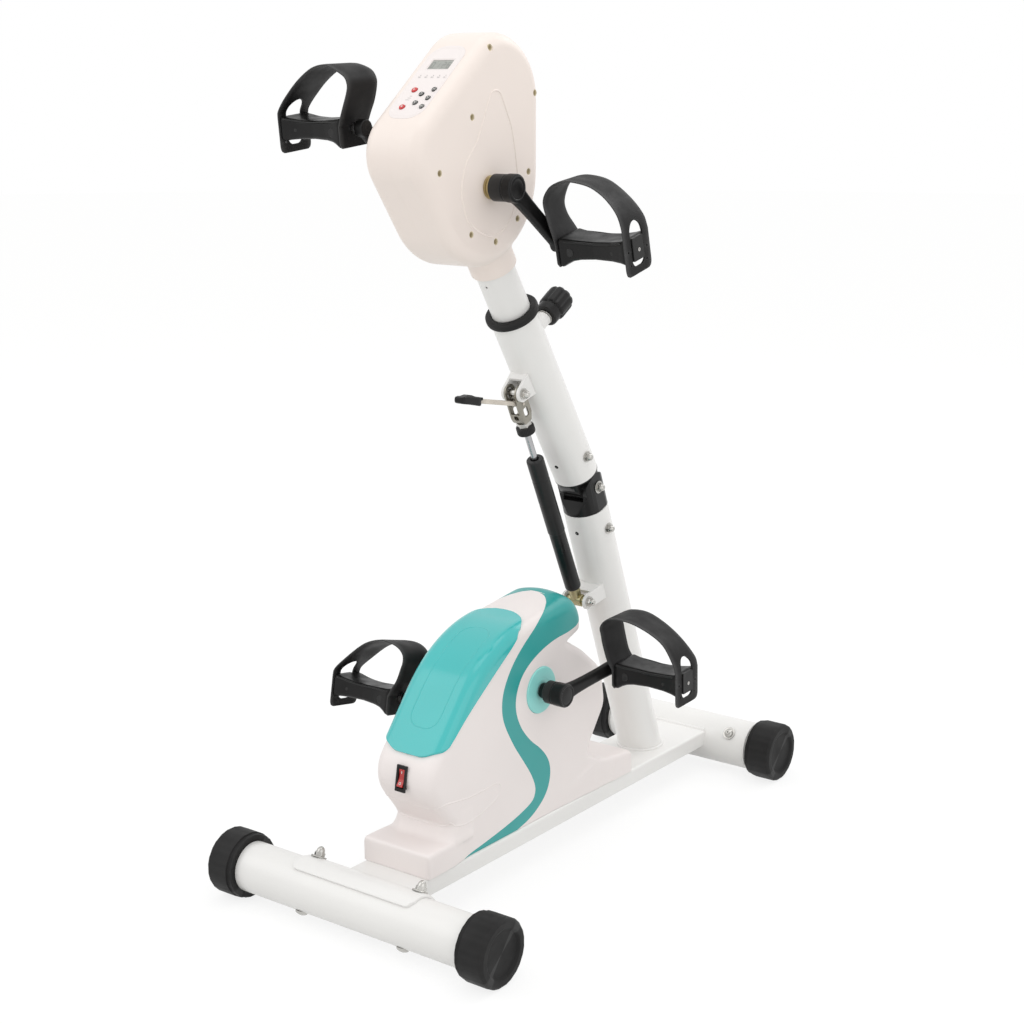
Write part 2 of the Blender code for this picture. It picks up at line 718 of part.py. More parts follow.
def make_drive(name, frame, spindle_end, motor_at, wall, metal, black, rubber):
    """Spindle with its driven pulley, motor, rotor pulley and belt, all across X."""
    a, b = PULLEY_X, PULLEY_X + PULLEY_WIDTH

    def pulley(radius, core):
        lip = radius + PULLEY_LIP
        return [(core, a), (lip, a), (radius, a + 0.0018), (radius, b - 0.0018), (lip, b),
                (core, b)]

    spindle = lathe([(0, -spindle_end), (SPINDLE_R, -spindle_end)] + pulley(DRIVEN_R, SPINDLE_R)
                    + [(SPINDLE_R, spindle_end), (0, spindle_end)], ROUND_FACES, "X")
    node(f"{name}_spindle", spindle, metal, frame)

    y, z = motor_at
    depth = PULLEY_X * 0.7
    motor = rod(MOTOR_R, -(wall - SEAT), MOTOR_FACE, ROUND_FACES)
    cut(motor, rod(SHAFT_R + RUN, MOTOR_FACE - depth - 0.001, MOTOR_FACE + 0.01))
    node(f"{name}_motor", motor, black, frame, (0.0, y, z))

    rotor = lathe([(0, MOTOR_FACE - depth), (SHAFT_R, MOTOR_FACE - depth)]
                  + pulley(DRIVER_R, SHAFT_R) + [(0, b)], PIN_FACES, "X")
    node(f"{name}_motor_pulley", rotor, metal, frame, (0.0, y, z))

    grip_in = belt_outline((0, 0), DRIVEN_R + RUN, motor_at, DRIVER_R + RUN)
    thick = RUN + BELT_THICK
    grip_out = belt_outline((0, 0), DRIVEN_R + thick, motor_at, DRIVER_R + thick)
    x0, x1 = a + 0.0018 + RUN, b - 0.0018 - RUN
    rings = [[(x0, *p) for p in grip_in], [(x1, *p) for p in grip_in],
             [(x1, *p) for p in grip_out], [(x0, *p) for p in grip_out]]
    node(f"{name}_belt", loft(rings, closed=True), rubber, frame)


# Console


CONSOLE = [(-0.0942, 0.1110, 0.048), (-0.0846, -0.0842, 0.083), (0.0600, -0.0845, 0.098),
           (0.1577, 0.0726, 0.072), (0.1027, 0.1382, 0.058)]


def panel_place():
    """Middle of the control panel and its slope, in the console's frame."""
    chin, brow = Vector(CONSOLE[0][:2]), Vector(CONSOLE[4][:2])
    run = (brow - chin).normalized()
    middle = chin + run * (PANEL_START + PANEL_LENGTH / 2)
    return middle, math.degrees(math.atan2(run.y, run.x))


def panel_outline(grow):
    half, reach = PANEL_HALF + grow, PANEL_LENGTH / 2 + grow
    return rounded([(-half, -reach, PANEL_ROUND), (half, -reach, PANEL_ROUND),
                    (half, reach, PANEL_ROUND), (-half, reach, PANEL_ROUND)], turn_step=18.0)


def flat_plate(outline, z0, z1):
    return loft([[(x, y, z) for x, y in outline] for z in (z0, z1)])


BUTTONS = [("start_button", -0.0085, 0.0920, True), ("stop_button", -0.0085, 0.0647, True),
           ("mode_button", 0.0178, 0.0932, False), ("time_button", 0.0050, 0.0856, False),
           ("speed_up_button", 0.0178, 0.0795, False), ("speed_down_button", 0.0050, 0.0717, False),
           ("direction_button", 0.0178, 0.0659, False)]


def make_console(frame, cream, brass, red, grey):
    middle, slope = panel_place()
    wall_in = CONSOLE_HALF - SHELL_WALL
    for side, word in ((1, "right"), (-1, "left")):
        shell = housing(CONSOLE, SPLIT / 2, CONSOLE_HALF, CONSOLE_EDGE)
        floor = CONSOLE[1][1]
        neck = lathe([(0, -COLLAR_BOTTOM), (COLLAR_R, -COLLAR_BOTTOM), (COLLAR_R, floor - 0.012),
                      (COLLAR_R + 0.001, floor - 0.006), (COLLAR_R + 0.004, floor - 0.001),
                      (COLLAR_R + 0.006, floor + 0.004), (0, floor + 0.004)], TUBE_FACES, "Z")
        join(shell, keep(neck, box(SPLIT / 2, 0.1, -0.1, 0.1, -0.2, 0.0)))
        hollow = housing(CONSOLE, -0.01, wall_in, CONSOLE_EDGE - SHELL_WALL, inset=SHELL_WALL,
                         turn_step=30.0)
        cut(shell, hollow, rod(INNER_R + SEAT, -0.2, floor + 0.01, TUBE_FACES, "Z"))
        cut(shell, rod(BUSH_BODY_R + SEAT, wall_in - 0.01, CONSOLE_HALF + 0.01, ROUND_FACES))
        opening = flat_plate(panel_outline(SEAT), -0.006, 0.004)
        spun(opening, slope)
        cut(shell, moved(opening, y=middle.x, z=middle.y))
        bush = lathe([(SPINDLE_R + RUN, wall_in - BUSH_DEPTH), (BUSH_BODY_R, wall_in - BUSH_DEPTH),
                      (BUSH_BODY_R, CONSOLE_HALF + SEAT), (BUSH_R, CONSOLE_HALF + SEAT),
                      (BUSH_R, CONSOLE_HALF + BUSH_FLANGE), (SPINDLE_R + RUN, CONSOLE_HALF + BUSH_FLANGE)],
                     ROUND_FACES, "X")
        if side < 0:
            mirrored(shell)
            mirrored(bush)
        node(f"console_{word}", shell, cream, frame)
        node(f"upper_bush_{word}", bush, brass, frame)

    plate = flat_plate(panel_outline(0.0), -PANEL_PLATE, 0.0004)
    start = PANEL_START + PANEL_LENGTH / 2
    at = WINDOW_AT - start
    cut(plate, box(-WINDOW_HALF, WINDOW_HALF, at - WINDOW_LENGTH / 2, at + WINDOW_LENGTH / 2,
                   -WINDOW_DEPTH, 0.01))
    for name, x, reach, is_red in BUTTONS:
        radius = RED_BUTTON_R if is_red else GREY_BUTTON_R
        cut(plate, moved(rod(radius + RUN, -0.01, 0.01, PIN_FACES, "Z"), x=x, y=reach - start))
    spun(plate, slope)
    node("control_panel", moved(plate, y=middle.x, z=middle.y), cream, frame)
    under = -PANEL_PLATE - RUN
    for name, x, reach, is_red in BUTTONS:
        radius = RED_BUTTON_R if is_red else GREY_BUTTON_R
        proud = 0.0004 + BUTTON_PROUD
        button = lathe([(0, under - BUTTON_FLANGE), (radius + 0.0012, under - BUTTON_FLANGE),
                        (radius + 0.0012, under), (radius, under), (radius, proud - 0.0006),
                        (radius - 0.0006, proud), (0, proud)], PIN_FACES, "Z")
        spot = turned((reach - start, 0.0), slope)
        node(name, spun(button, slope), red if is_red else grey, frame,
             (x, middle.x + spot[0], middle.y + spot[1]))


# Lower cover


HUMP = [(-0.2290, 0.0440, 0.002), (-0.0050, 0.0440, 0.002), (-0.0050, 0.2640, 0.004),
        (0.0230, 0.2735, 0.009), (0.0275, 0.3230, 0.034), (-0.1650, 0.3065, 0.170),
        (-0.2847, 0.1624, 0.042), (-0.2290, 0.0900, 0.012)]
DRUM = [(-0.0600, 0.0430, 0.002), (0.0460, 0.0430, 0.002), (0.0460, 0.1160, 0.012),
        (0.0815, 0.1650, 0.030), (0.0730, 0.2150, 0.040), (0.0330, 0.2470, 0.080),
        (-0.0300, 0.2850, 0.002)]
# the panel's edge and a space before it, seen from the side
TRIM_STAMP = [(-0.2900, 0.2130), (-0.2620, 0.1900), (-0.2590, 0.1925), (-0.2470, 0.1990),
              (-0.2340, 0.2100), (-0.2120, 0.2295), (-0.1320, 0.2870), (-0.1140, 0.2980),
              (-0.1010, 0.3050), (-0.0700, 0.3120), (-0.0600, 0.3500), (-0.2000, 0.3800)]
# its upper end seen from above, from the middle outward
TRIM_END = [(0.0, -0.0774), (0.0120, -0.0785), (0.0220, -0.0820), (0.0300, -0.0872), (0.0360, -0.0935),
            (0.0410, -0.1020), (0.0440, -0.1110), (0.0600, -0.1400), (0.0600, -0.4000)]
TRIM_TURN = 7.5
# y, half width and top of the skirt's sections
FRONT_SKIRT = [(-0.2865, 0.0480, 0.0835), (-0.2850, 0.0492, 0.0850), (-0.2820, 0.0495, 0.0860),
               (-0.2620, 0.0495, 0.0862), (-0.2520, 0.0490, 0.0885), (-0.2450, 0.0480, 0.0940),
               (-0.2400, 0.0468, 0.1030), (-0.2370, 0.0455, 0.1150), (-0.2000, 0.0438, 0.1150)]
SIDE_SKIRT = [(-0.0450, 0.0438, 0.0700), (-0.0100, 0.0446, 0.0790), (0.0200, 0.0456, 0.0860),
              (0.0450, 0.0466, 0.0930), (0.0600, 0.0472, 0.0965)]
REAR_SKIRT = [(0.0300, 0.0438, 0.1080), (0.0460, 0.0452, 0.1030), (0.0580, 0.0466, 0.0975),
              (0.0700, 0.0475, 0.0930), (0.0860, 0.0485, 0.0905), (0.1100, 0.0485, 0.0885),
              (0.1260, 0.0485, 0.0865), (0.1315, 0.0475, 0.0850), (0.1340, 0.0455, 0.0825)]


def crown(point):
    """Lifts the rear of the cover's top toward its middle."""
    x, y, z = point
    rise = min(max((y + 0.090) / 0.090, 0.0), 1.0) * min(max((z - 0.240) / 0.050, 0.0), 1.0)
    return (x, y, z + COVER_CROWN * rise * rise * (3 - 2 * rise) * (1 - (x / COVER_HALF) ** 2))


def skirt(sections, fillet, start):
    turn = [math.radians(30 * k) for k in range(4)]
    rings = []
    for y, half, top in sections:
        ring = [(start, y, CHANNEL_TOP + start), (half, y, CHANNEL_TOP + start)]
        ring += [(half - fillet + fillet * math.cos(a), y, top - fillet + fillet * math.sin(a))
                 for a in turn]
        rings.append(ring + [(start, y, top)])
    return loft(rings)


def make_cover(cream, teal, pale, black, red):
    floor = CHANNEL_TOP + SEAT
    wall_in = COVER_HALF - SHELL_WALL
    for side, word in ((1, "right"), (-1, "left")):
        rows = (0.015,)
        shell = housing(HUMP, -0.001, COVER_HALF, COVER_EDGE, shift=crown, inner_rows=rows)
        join(shell, housing(DRUM, -0.002, COVER_HALF - 0.0002, COVER_EDGE))
        join(shell, skirt(FRONT_SKIRT, 0.0045, -0.003), skirt(SIDE_SKIRT, 0.003, -0.004),
             skirt(REAR_SKIRT, 0.005, -0.005))
        cut(shell, box(-0.02, 0.1, -0.4, 0.2, 0.0, floor), box(-0.02, SPLIT / 2, -0.4, 0.2, 0.03, 0.4))
        hollow = housing(HUMP, -0.01, wall_in, COVER_EDGE - SHELL_WALL, inset=SHELL_WALL,
                         shift=crown, inner_rows=rows, turn_step=30.0)
        join(hollow, housing(DRUM, -0.012, wall_in - 0.0002, COVER_EDGE - SHELL_WALL, inset=SHELL_WALL,
                             turn_step=30.0))
        cut(shell, hollow, box(-0.01, wall_in, -0.225, 0.043, 0.03, 0.070))
        cut(shell, moved(rod(DISC_R + SEAT, wall_in - 0.02, 0.06, TUBE_FACES), y=AXIS_Y, z=AXIS_Z))
        hole = box(-BEZEL_HALF + 0.0016, BEZEL_HALF - 0.0016, -0.004, 0.015,
                   -BEZEL_TALL + 0.003, BEZEL_TALL - 0.003)
        cut(shell, moved(spun(hole, SWITCH_TILT), y=nose_y(), z=SWITCH_Z))
        if side < 0:
            mirrored(shell)
        node(f"cover_{word}", shell, cream)

        disc = lathe([(SPINDLE_R + RUN, wall_in - 0.006), (0.012, wall_in - 0.006),
                      (0.012, DISC_FACE - DISC_BODY), (DISC_R, DISC_FACE - DISC_BODY),
                      (DISC_R - 0.0003, DISC_FACE),
                      (SPINDLE_R + RUN, DISC_FACE)], TUBE_FACES, "X")
        if side < 0:
            mirrored(disc)
        node(f"hub_disc_{word}", disc, pale, location=(0.0, AXIS_Y, AXIS_Z))
    make_trim(teal)
    make_switch(black, red)


def nose_y():
    """Y of the switch's seat, a plane that just clears the cover's nose."""
    ny, nz = turned((-1.0, 0.0), SWITCH_TILT)
    near = [(y, z) for y, z in rounded(HUMP) if y < -0.2 and abs(z - SWITCH_Z) < 2 * BEZEL_TALL]
    reach = max(y * ny + z * nz for y, z in near)
    return (reach - nz * SWITCH_Z) / ny


def make_trim(teal):
    """Glossy panel over the cover's front slope and its shoulders."""
    skins = []
    for out in (SEAT + TRIM_THICK, SEAT * 1.7):
        skins.append(housing(HUMP, None, COVER_HALF + out, COVER_EDGE + out, inset=-out, shift=crown,
                             inner_rows=(0.015,), turn_step=TRIM_TURN, steps=3))
    cut(*skins)
    keep(skins[0], prism(TRIM_STAMP, -0.06, 0.06))
    plan = [(-x, y) for x, y in TRIM_END[:0:-1]] + TRIM_END
    keep(skins[0], loft([[(x, y, z) for x, y in plan] for z in (0.150, 0.400)]))
    node("cover_top_panel", skins[0], teal)


def make_switch(black, red):
    frame = frame_at("switch_frame", (0.0, nose_y(), SWITCH_Z), SWITCH_TILT)
    wide, tall = BEZEL_HALF, BEZEL_TALL
    bezel = box(-wide, wide, -BEZEL_FLANGE - SEAT, -SEAT, -tall, tall)
    gap = 0.0016 + SEAT
    join(bezel, box(-wide + gap, wide - gap, -0.0010, 0.011, -tall + 0.003 + SEAT, tall - 0.003 - SEAT))
    cut(bezel, box(-ROCKER_HALF - SEAT, ROCKER_HALF + SEAT, -0.01, 0.02,
                   -ROCKER_TALL - 0.0024, ROCKER_TALL + 0.0024))
    node("switch_bezel", bezel, black, frame)
    t = ROCKER_TALL
    outline = [(0.0020, -t), (0.0020, t), (-0.0065, t), (-0.0052, t / 2), (-0.0046, 0.0),
               (-0.0052, -t / 2), (-0.0065, -t)]
    rocker = spun(prism(outline, -ROCKER_HALF, ROCKER_HALF), ROCKER_REST)
    node("rocker_switch", rocker, red, frame, (0.0, 0.0035, 0.0))


# Cranks, pedals and straps


def make_crank(name, side, frame, boss_in, boss_out, eye, spindle_end, black):
    word = "right" if side > 0 else "left"
    cap = BOSS_CAP / 8
    hub = BOSS_R - 0.001 if name == "lower" else BOSS_R
    profile = [(0, boss_in), (hub - 0.002, boss_in), (hub - 0.002, boss_out - HUB_WIDTH - 0.001),
               (hub, boss_out - HUB_WIDTH), (hub, boss_out - 0.001), (hub - 0.001, boss_out),
               (hub - 0.003, boss_out), (hub - 0.0035, boss_out - cap), (0, boss_out - cap)]
    if name == "lower":
        profile[1:2] = [(0.0095, boss_in), (0.0095, boss_in + 0.008), (hub - 0.002, boss_in + 0.0085)]
    arm = lathe(profile, ROUND_FACES, "X")
    rings = []
    root = boss_out - ARM_THICK / 2 - 0.0035
    for share, widen in ((0.07, 1.35), (0.20, 1.10), (0.36, 0.97), (0.70, 0.95), (1.0, 1.05)):
        y = CRANK_LENGTH * share
        x = root + (eye - root) * share
        w, t = ARM_WIDE / 2 * widen, ARM_THICK / 2
        ring = rounded_box(x - t, x + t, -w, w, t * 0.75, turn_step=30.0)
        rings.append([(p, y, q) for p, q in ring])
    join(arm, loft(rings))
    t = ARM_THICK / 2
    collar = FLAP_IN - STRAP_THICK / 2 - RUN
    pin = eye + FLAP_OUT - 0.012
    end = lathe([(0, eye - t), (EYE_WIDE / 2, eye - t),
                 (EYE_WIDE / 2, eye + t - 0.002), (EYE_WIDE / 2 - 0.002, eye + t), (COLLAR_PIN_R, eye + t),
                 (COLLAR_PIN_R, eye + collar), (PEDAL_PIN_R, eye + collar), (PEDAL_PIN_R, pin), (0, pin)],
                PIN_FACES, "X")
    join(arm, moved(end, y=CRANK_LENGTH))
    cut(arm, rod(SPINDLE_R + SEAT, boss_in - 0.01, spindle_end + SEAT, ROUND_FACES))
    if side < 0:
        spun(mirrored(arm), 180)
    node(f"{name}_crank_{word}", arm, black, frame)


def make_pedal(name, side, centre, tilt, black, strap_black):
    word = "right" if side > 0 else "left"
    frame = frame_at(f"{name}_pedal_frame_{word}", centre, tilt)
    inner = FLAP_IN + STRAP_THICK / 2 + SEAT
    outer = FLAP_OUT - STRAP_THICK / 2 - SEAT
    rings = []
    for share, half, top, low in ((0.0, 0.0225, 0.0125, -0.0205), (0.08, 0.0218, 0.0117, -0.0180),
                                  (0.24, 0.0196, 0.0104, -0.0128), (0.50, 0.0184, 0.0094, -0.0110),
                                  (0.76, 0.0196, 0.0106, -0.0114), (0.93, 0.0222, 0.0132, -0.0126),
                                  (1.0, 0.0232, 0.0145, -0.0138)):
        x = inner + (outer - inner) * share
        ring = rounded_box(-half, half, low, top, 0.0065, turn_step=30.0)
        rings.append([(x, y, z) for y, z in ring])
    body = loft(rings)
    tab = rounded_box(-0.0105, 0.0105, -0.0125, 0.0135, 0.0015, turn_step=90.0)
    join(body, prism(tab, outer - 0.003, FLAP_OUT + STRAP_THICK / 2 + 0.0012))
    cut(body, rod(PEDAL_PIN_R + RUN, 0.0, FLAP_OUT - 0.011))
    if side < 0:
        mirrored(body)
    node(f"{name}_pedal_{word}", body, black, frame)

    path = [Vector((FLAP_IN, -0.0200))]
    path += smooth_path([(FLAP_IN, 0.0085), (0.0100, 0.0190), (0.0036, 0.0335), (0.0000, 0.0460),
                         (0.0065, 0.0590), (0.0190, 0.0680), (0.0340, STRAP_RISE),
                         (0.0510, STRAP_RISE), (0.0680, 0.0675), (0.0840, 0.0575),
                         (0.0965, 0.0430), (0.1027, 0.0280), (FLAP_OUT, 0.0160)], 2)
    path.append(Vector((FLAP_OUT, -0.0270)))
    rings = []
    last = len(path) - 1
    for i, p in enumerate(path):
        ahead = path[min(i + 1, last)] - path[max(i - 1, 0)]
        normal = Vector((-ahead.y, ahead.x)).normalized() * (STRAP_THICK / 2)
        half = STRAP_HALF - (0.0035 if i in (0, last) else 0.0)
        a, b = p + normal, p - normal
        rings.append([(a.x, -half, a.y), (a.x, half, a.y), (b.x, half, b.y), (b.x, -half, b.y)])
    strap = loft(rings)
    cut(strap, rod(PEDAL_PIN_R + 2 * RUN, -0.01, 0.04))
    arch = rounded([(-0.0125, -0.0190, 0.006), (0.0125, -0.0190, 0.006), (0.0125, 0.0310, 0.0122),
                    (-0.0125, 0.0310, 0.0122)], turn_step=30.0)
    cut(strap, prism(arch, FLAP_OUT - 0.02, FLAP_OUT + 0.02))
    if side < 0:
        mirrored(strap)
    node(f"{name}_strap_{word}", strap, strap_black, frame)


def make_crank_set(name, origin, angle, boss_in, boss_out, eye, black, strap_black):
    frame = frame_at(f"{name}_crank_frame", origin, angle)
    spindle_end = boss_out - BOSS_CAP
    for side in (1, -1):
        make_crank(name, side, frame, boss_in, boss_out, eye, spindle_end, black)
        y, z = turned((side * CRANK_LENGTH, 0.0), angle)
        centre = (side * eye, origin[1] + y, origin[2] + z)
        word = "right" if side > 0 else "left"
        make_pedal(name, side, centre, PEDAL_TILTS[f"{name}_{word}"], black, strap_black)
    return frame, spindle_end - SEAT


def build():
    clear_scene()
    white = material("white_powder_coat", (0.84, 0.83, 0.81), 0.35)
    cream = material("cream_housing", (0.86, 0.79, 0.75), 0.42)
    teal = material("teal_panel", (0.10, 0.55, 0.54), 0.22)
    pale = material("pale_teal_disc", (0.30, 0.70, 0.66), 0.35)
    black = material("black_plastic", (0.020, 0.019, 0.019), 0.45)
    rubber = material("black_rubber", (0.025, 0.024, 0.024), 0.70)
    zinc = material("zinc", (0.72, 0.71, 0.68), 0.28, 1.0)
    brass = material("brass", (0.55, 0.46, 0.28), 0.35, 1.0)
    red = material("red_plastic", (0.70, 0.05, 0.06), 0.35)
    grey = material("grey_plastic", (0.12, 0.13, 0.14), 0.45)
    steel = material("machined_steel", (0.50, 0.50, 0.51), 0.35, 1.0)

    make_base(white)
    make_foot("front", FRONT_Y, FRONT_WIDTH, white, rubber)
    make_foot("rear", REAR_Y, REAR_WIDTH, white, rubber)

    post_frame = frame_at("post_frame", PIVOT, POST_LEAN)
    mast_frame = frame_at("mast_frame", PIVOT, MAST_LEAN)
    low_seat = make_post(post_frame, white)
    make_knuckles(post_frame, mast_frame, black, zinc)
    lug_face = make_mast(mast_frame, white, black, zinc)

    low = Vector((0.0, SPRING_LOW_Y, SPRING_LOW_Z))
    high = along(PIVOT, (-LUG_OUT, LUG_UP), MAST_LEAN)
    run = high - low
    lean = math.degrees(math.atan2(-run.y, run.z))
    spring_frame = frame_at("spring_frame", low, lean)
    inner = make_spring(spring_frame, run.length, low_seat, black, zinc)
    lever_at = low + run.normalized() * (run.length - LEVER_BELOW)
    make_lever(frame_at("lever_frame", lever_at), inner, black)
    upper_pin = cross_pin(SPRING_PIN_R, lug_face + SEAT, 0.0068, 0.0050)
    node("spring_pin_upper", upper_pin, zinc, mast_frame, (0.0, -LUG_OUT, LUG_UP))

    spindle = along(PIVOT, (0.0, SPINDLE_UP), MAST_LEAN)
    console_frame = frame_at("console_frame", spindle, MAST_LEAN)
    make_console(console_frame, cream, brass, red, grey)
    boss_in = CONSOLE_HALF + BUSH_FLANGE + RUN
    frame, end = make_crank_set("upper", spindle, UPPER_ARM_ANGLE, boss_in, UPPER_BOSS_OUT,
                                UPPER_EYE, black, rubber)
    make_drive("upper", console_frame, end, UPPER_MOTOR, CONSOLE_HALF - SHELL_WALL,
               steel, black, rubber)

    make_cover(cream, teal, pale, black, red)
    axis = (0.0, AXIS_Y, AXIS_Z)
    lower_frame = frame_at("lower_unit_frame", axis)
    frame, end = make_crank_set("lower", axis, LOWER_ARM_ANGLE, DISC_FACE + RUN, LOWER_BOSS_OUT,
                                LOWER_EYE, black, rubber)
    make_drive("lower", lower_frame, end, LOWER_MOTOR, COVER_HALF - SHELL_WALL,
               steel, black, rubber)


build()
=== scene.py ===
import json
import math

import bmesh
import bpy
from mathutils import Matrix, Vector
from mathutils.bvhtree import BVHTree

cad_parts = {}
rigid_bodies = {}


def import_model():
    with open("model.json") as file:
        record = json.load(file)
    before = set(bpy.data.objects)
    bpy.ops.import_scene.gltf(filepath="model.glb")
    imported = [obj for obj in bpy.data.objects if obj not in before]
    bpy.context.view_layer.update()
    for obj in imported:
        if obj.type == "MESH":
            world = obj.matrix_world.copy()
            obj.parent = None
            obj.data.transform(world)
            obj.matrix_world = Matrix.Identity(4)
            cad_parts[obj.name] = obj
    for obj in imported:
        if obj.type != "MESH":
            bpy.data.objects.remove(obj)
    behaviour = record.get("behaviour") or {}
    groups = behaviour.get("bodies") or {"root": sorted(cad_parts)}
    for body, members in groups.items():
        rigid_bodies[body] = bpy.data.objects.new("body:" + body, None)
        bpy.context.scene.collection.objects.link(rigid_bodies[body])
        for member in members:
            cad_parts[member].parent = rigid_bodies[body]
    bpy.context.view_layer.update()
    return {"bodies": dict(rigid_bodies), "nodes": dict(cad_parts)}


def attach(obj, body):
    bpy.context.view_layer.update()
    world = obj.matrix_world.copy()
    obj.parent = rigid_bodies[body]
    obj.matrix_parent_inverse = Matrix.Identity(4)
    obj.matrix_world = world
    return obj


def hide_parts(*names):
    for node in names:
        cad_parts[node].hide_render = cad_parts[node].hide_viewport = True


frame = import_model()
NODES = frame["nodes"]


def mm(rows, up=0.0):
    """Rows of millimetres as rows of metres, the last value of each raised by up."""
    return [(*(value / 1000 for value in row[:-1]), up + row[-1] / 1000) for row in rows]


# Sizes repeated from the CAD, in metres but for what mm() converts
SEAM = 0.00003
SEAT = 0.0003
RUN = 0.0004
FRONT_Y, REAR_Y = -0.350, 0.350
FRONT_HALF, REAR_HALF = 0.204, 0.1524
AXIS_Z = 0.039
TUBE_R = 0.030
PIVOT = (0.0786, 0.4453)
POST_LEAN, MAST_LEAN = 20.9, 31.9
POST_R, MAST_R, INNER_R = 0.0286, 0.028, 0.0234
# Where the post ends under the pivot and the mast's outer tube starts and ends above it
POST_END, MAST_START, MAST_END = -0.032, 0.021, 0.266
CHANNEL_HALF, CHANNEL_TOP, CHANNEL_DEPTH = 0.0468, 0.0566, 0.0211
SPRING_LOW = (0.0735, 0.2960)
LUG_OUT, LUG_UP, LUG_R, LUG_PLATE, LUG_WEB = 0.0457, 0.187, 0.0098, 0.0034, 0.0030
HEAD_LENGTH, HEAD_HALF, HEAD_R, HEAD_PLATE = 0.0400, 0.0086, 0.0100, 0.0022
SPINDLE_UP = 0.4471
SPINDLE_R = 0.008
CONSOLE_HALF, CONSOLE_EDGE = 0.040, 0.016
PANEL_HALF, PANEL_LENGTH, PANEL_START, PANEL_ROUND = 0.0245, 0.118, 0.047, 0.019
HUB = (-0.0647, 0.2222)
COVER_HALF, COVER_EDGE, COVER_CROWN = 0.044, 0.013, 0.009
TRIM_THICK = 0.0025
DISC_R, DISC_FACE = 0.029, 0.0458
SWITCH_Z, SWITCH_TILT = 0.164, -10.0
BEZEL_HALF, BEZEL_TALL = 0.0075, 0.0155
CRANK_LENGTH, ARM_THICK, ARM_WIDE, EYE_WIDE = 0.088, 0.012, 0.0165, 0.019
FLAP_IN, FLAP_OUT, STRAP_THICK, STRAP_HALF = 0.0139, 0.104, 0.0022, 0.0245
# Corners of the console, the cover's hump and its drum seen from the side: y, z and radius
CONSOLE = mm([(-94.2, 111, 48), (-84.6, -84.2, 83), (60, -84.5, 98), (157.7, 72.6, 72),
              (102.7, 138.2, 58)])
HUMP = mm([(-229, 44, 2), (-5, 44, 2), (-5, 264, 4), (23, 273.5, 9), (27.5, 323, 34),
           (-165, 306.5, 170), (-284.7, 162.4, 42), (-229, 90, 12)])
DRUM = mm([(-60, 43, 2), (46, 43, 2), (46, 116, 12), (81.5, 165, 30), (73, 215, 40), (33, 247, 80),
           (-30, 285, 2)])
# Each unit's crank: its angle, then how far out its boss starts and ends and its pedal's eye sits
CRANKS = {"upper": (-45.2, 0.0473, 0.0780, 0.088), "lower": (11.5, 0.0466, 0.0829, 0.092)}
# Each pedal's tilt at rest, in degrees
PEDAL_TILTS = {"upper_right": 13.7, "upper_left": 6.3, "lower_right": 2.6, "lower_left": -10.0}

SIDES = ((1, "right"), (-1, "left"))


def turned(point, degrees):
    a = math.radians(degrees)
    y, z = point
    return (y * math.cos(a) - z * math.sin(a), y * math.sin(a) + z * math.cos(a))


def leaning(y, z, degrees, x=0.0):
    """A frame at a point, turned about X."""
    return Matrix.Translation((x, y, z)) @ Matrix.Rotation(math.radians(degrees), 4, "X")


POST = leaning(*PIVOT, POST_LEAN)
MAST = leaning(*PIVOT, MAST_LEAN)
HEAD_UP = MAST @ Matrix.Translation((0, 0, SPINDLE_UP))
LUG_AT = MAST @ Vector((0, -LUG_OUT, LUG_UP))
SPRING_LENGTH = math.hypot(LUG_AT.y - SPRING_LOW[0], LUG_AT.z - SPRING_LOW[1])
SPRING_LEAN = math.degrees(math.atan2(SPRING_LOW[0] - LUG_AT.y, LUG_AT.z - SPRING_LOW[1]))
SPRING = leaning(*SPRING_LOW, SPRING_LEAN)


# Materials


def node(tree, kind, *sources, operation=None, **values):
    """A shader node: what feeds its first sockets, then constants by socket name."""
    made = tree.nodes.new("ShaderNode" + kind)
    if operation:
        made.operation = operation
    for place, source in enumerate(sources):
        if source is not None:
            tree.links.new(source, made.inputs[place])
    for key, value in values.items():
        made.inputs[key.replace("_", " ")].default_value = value
    return made.outputs


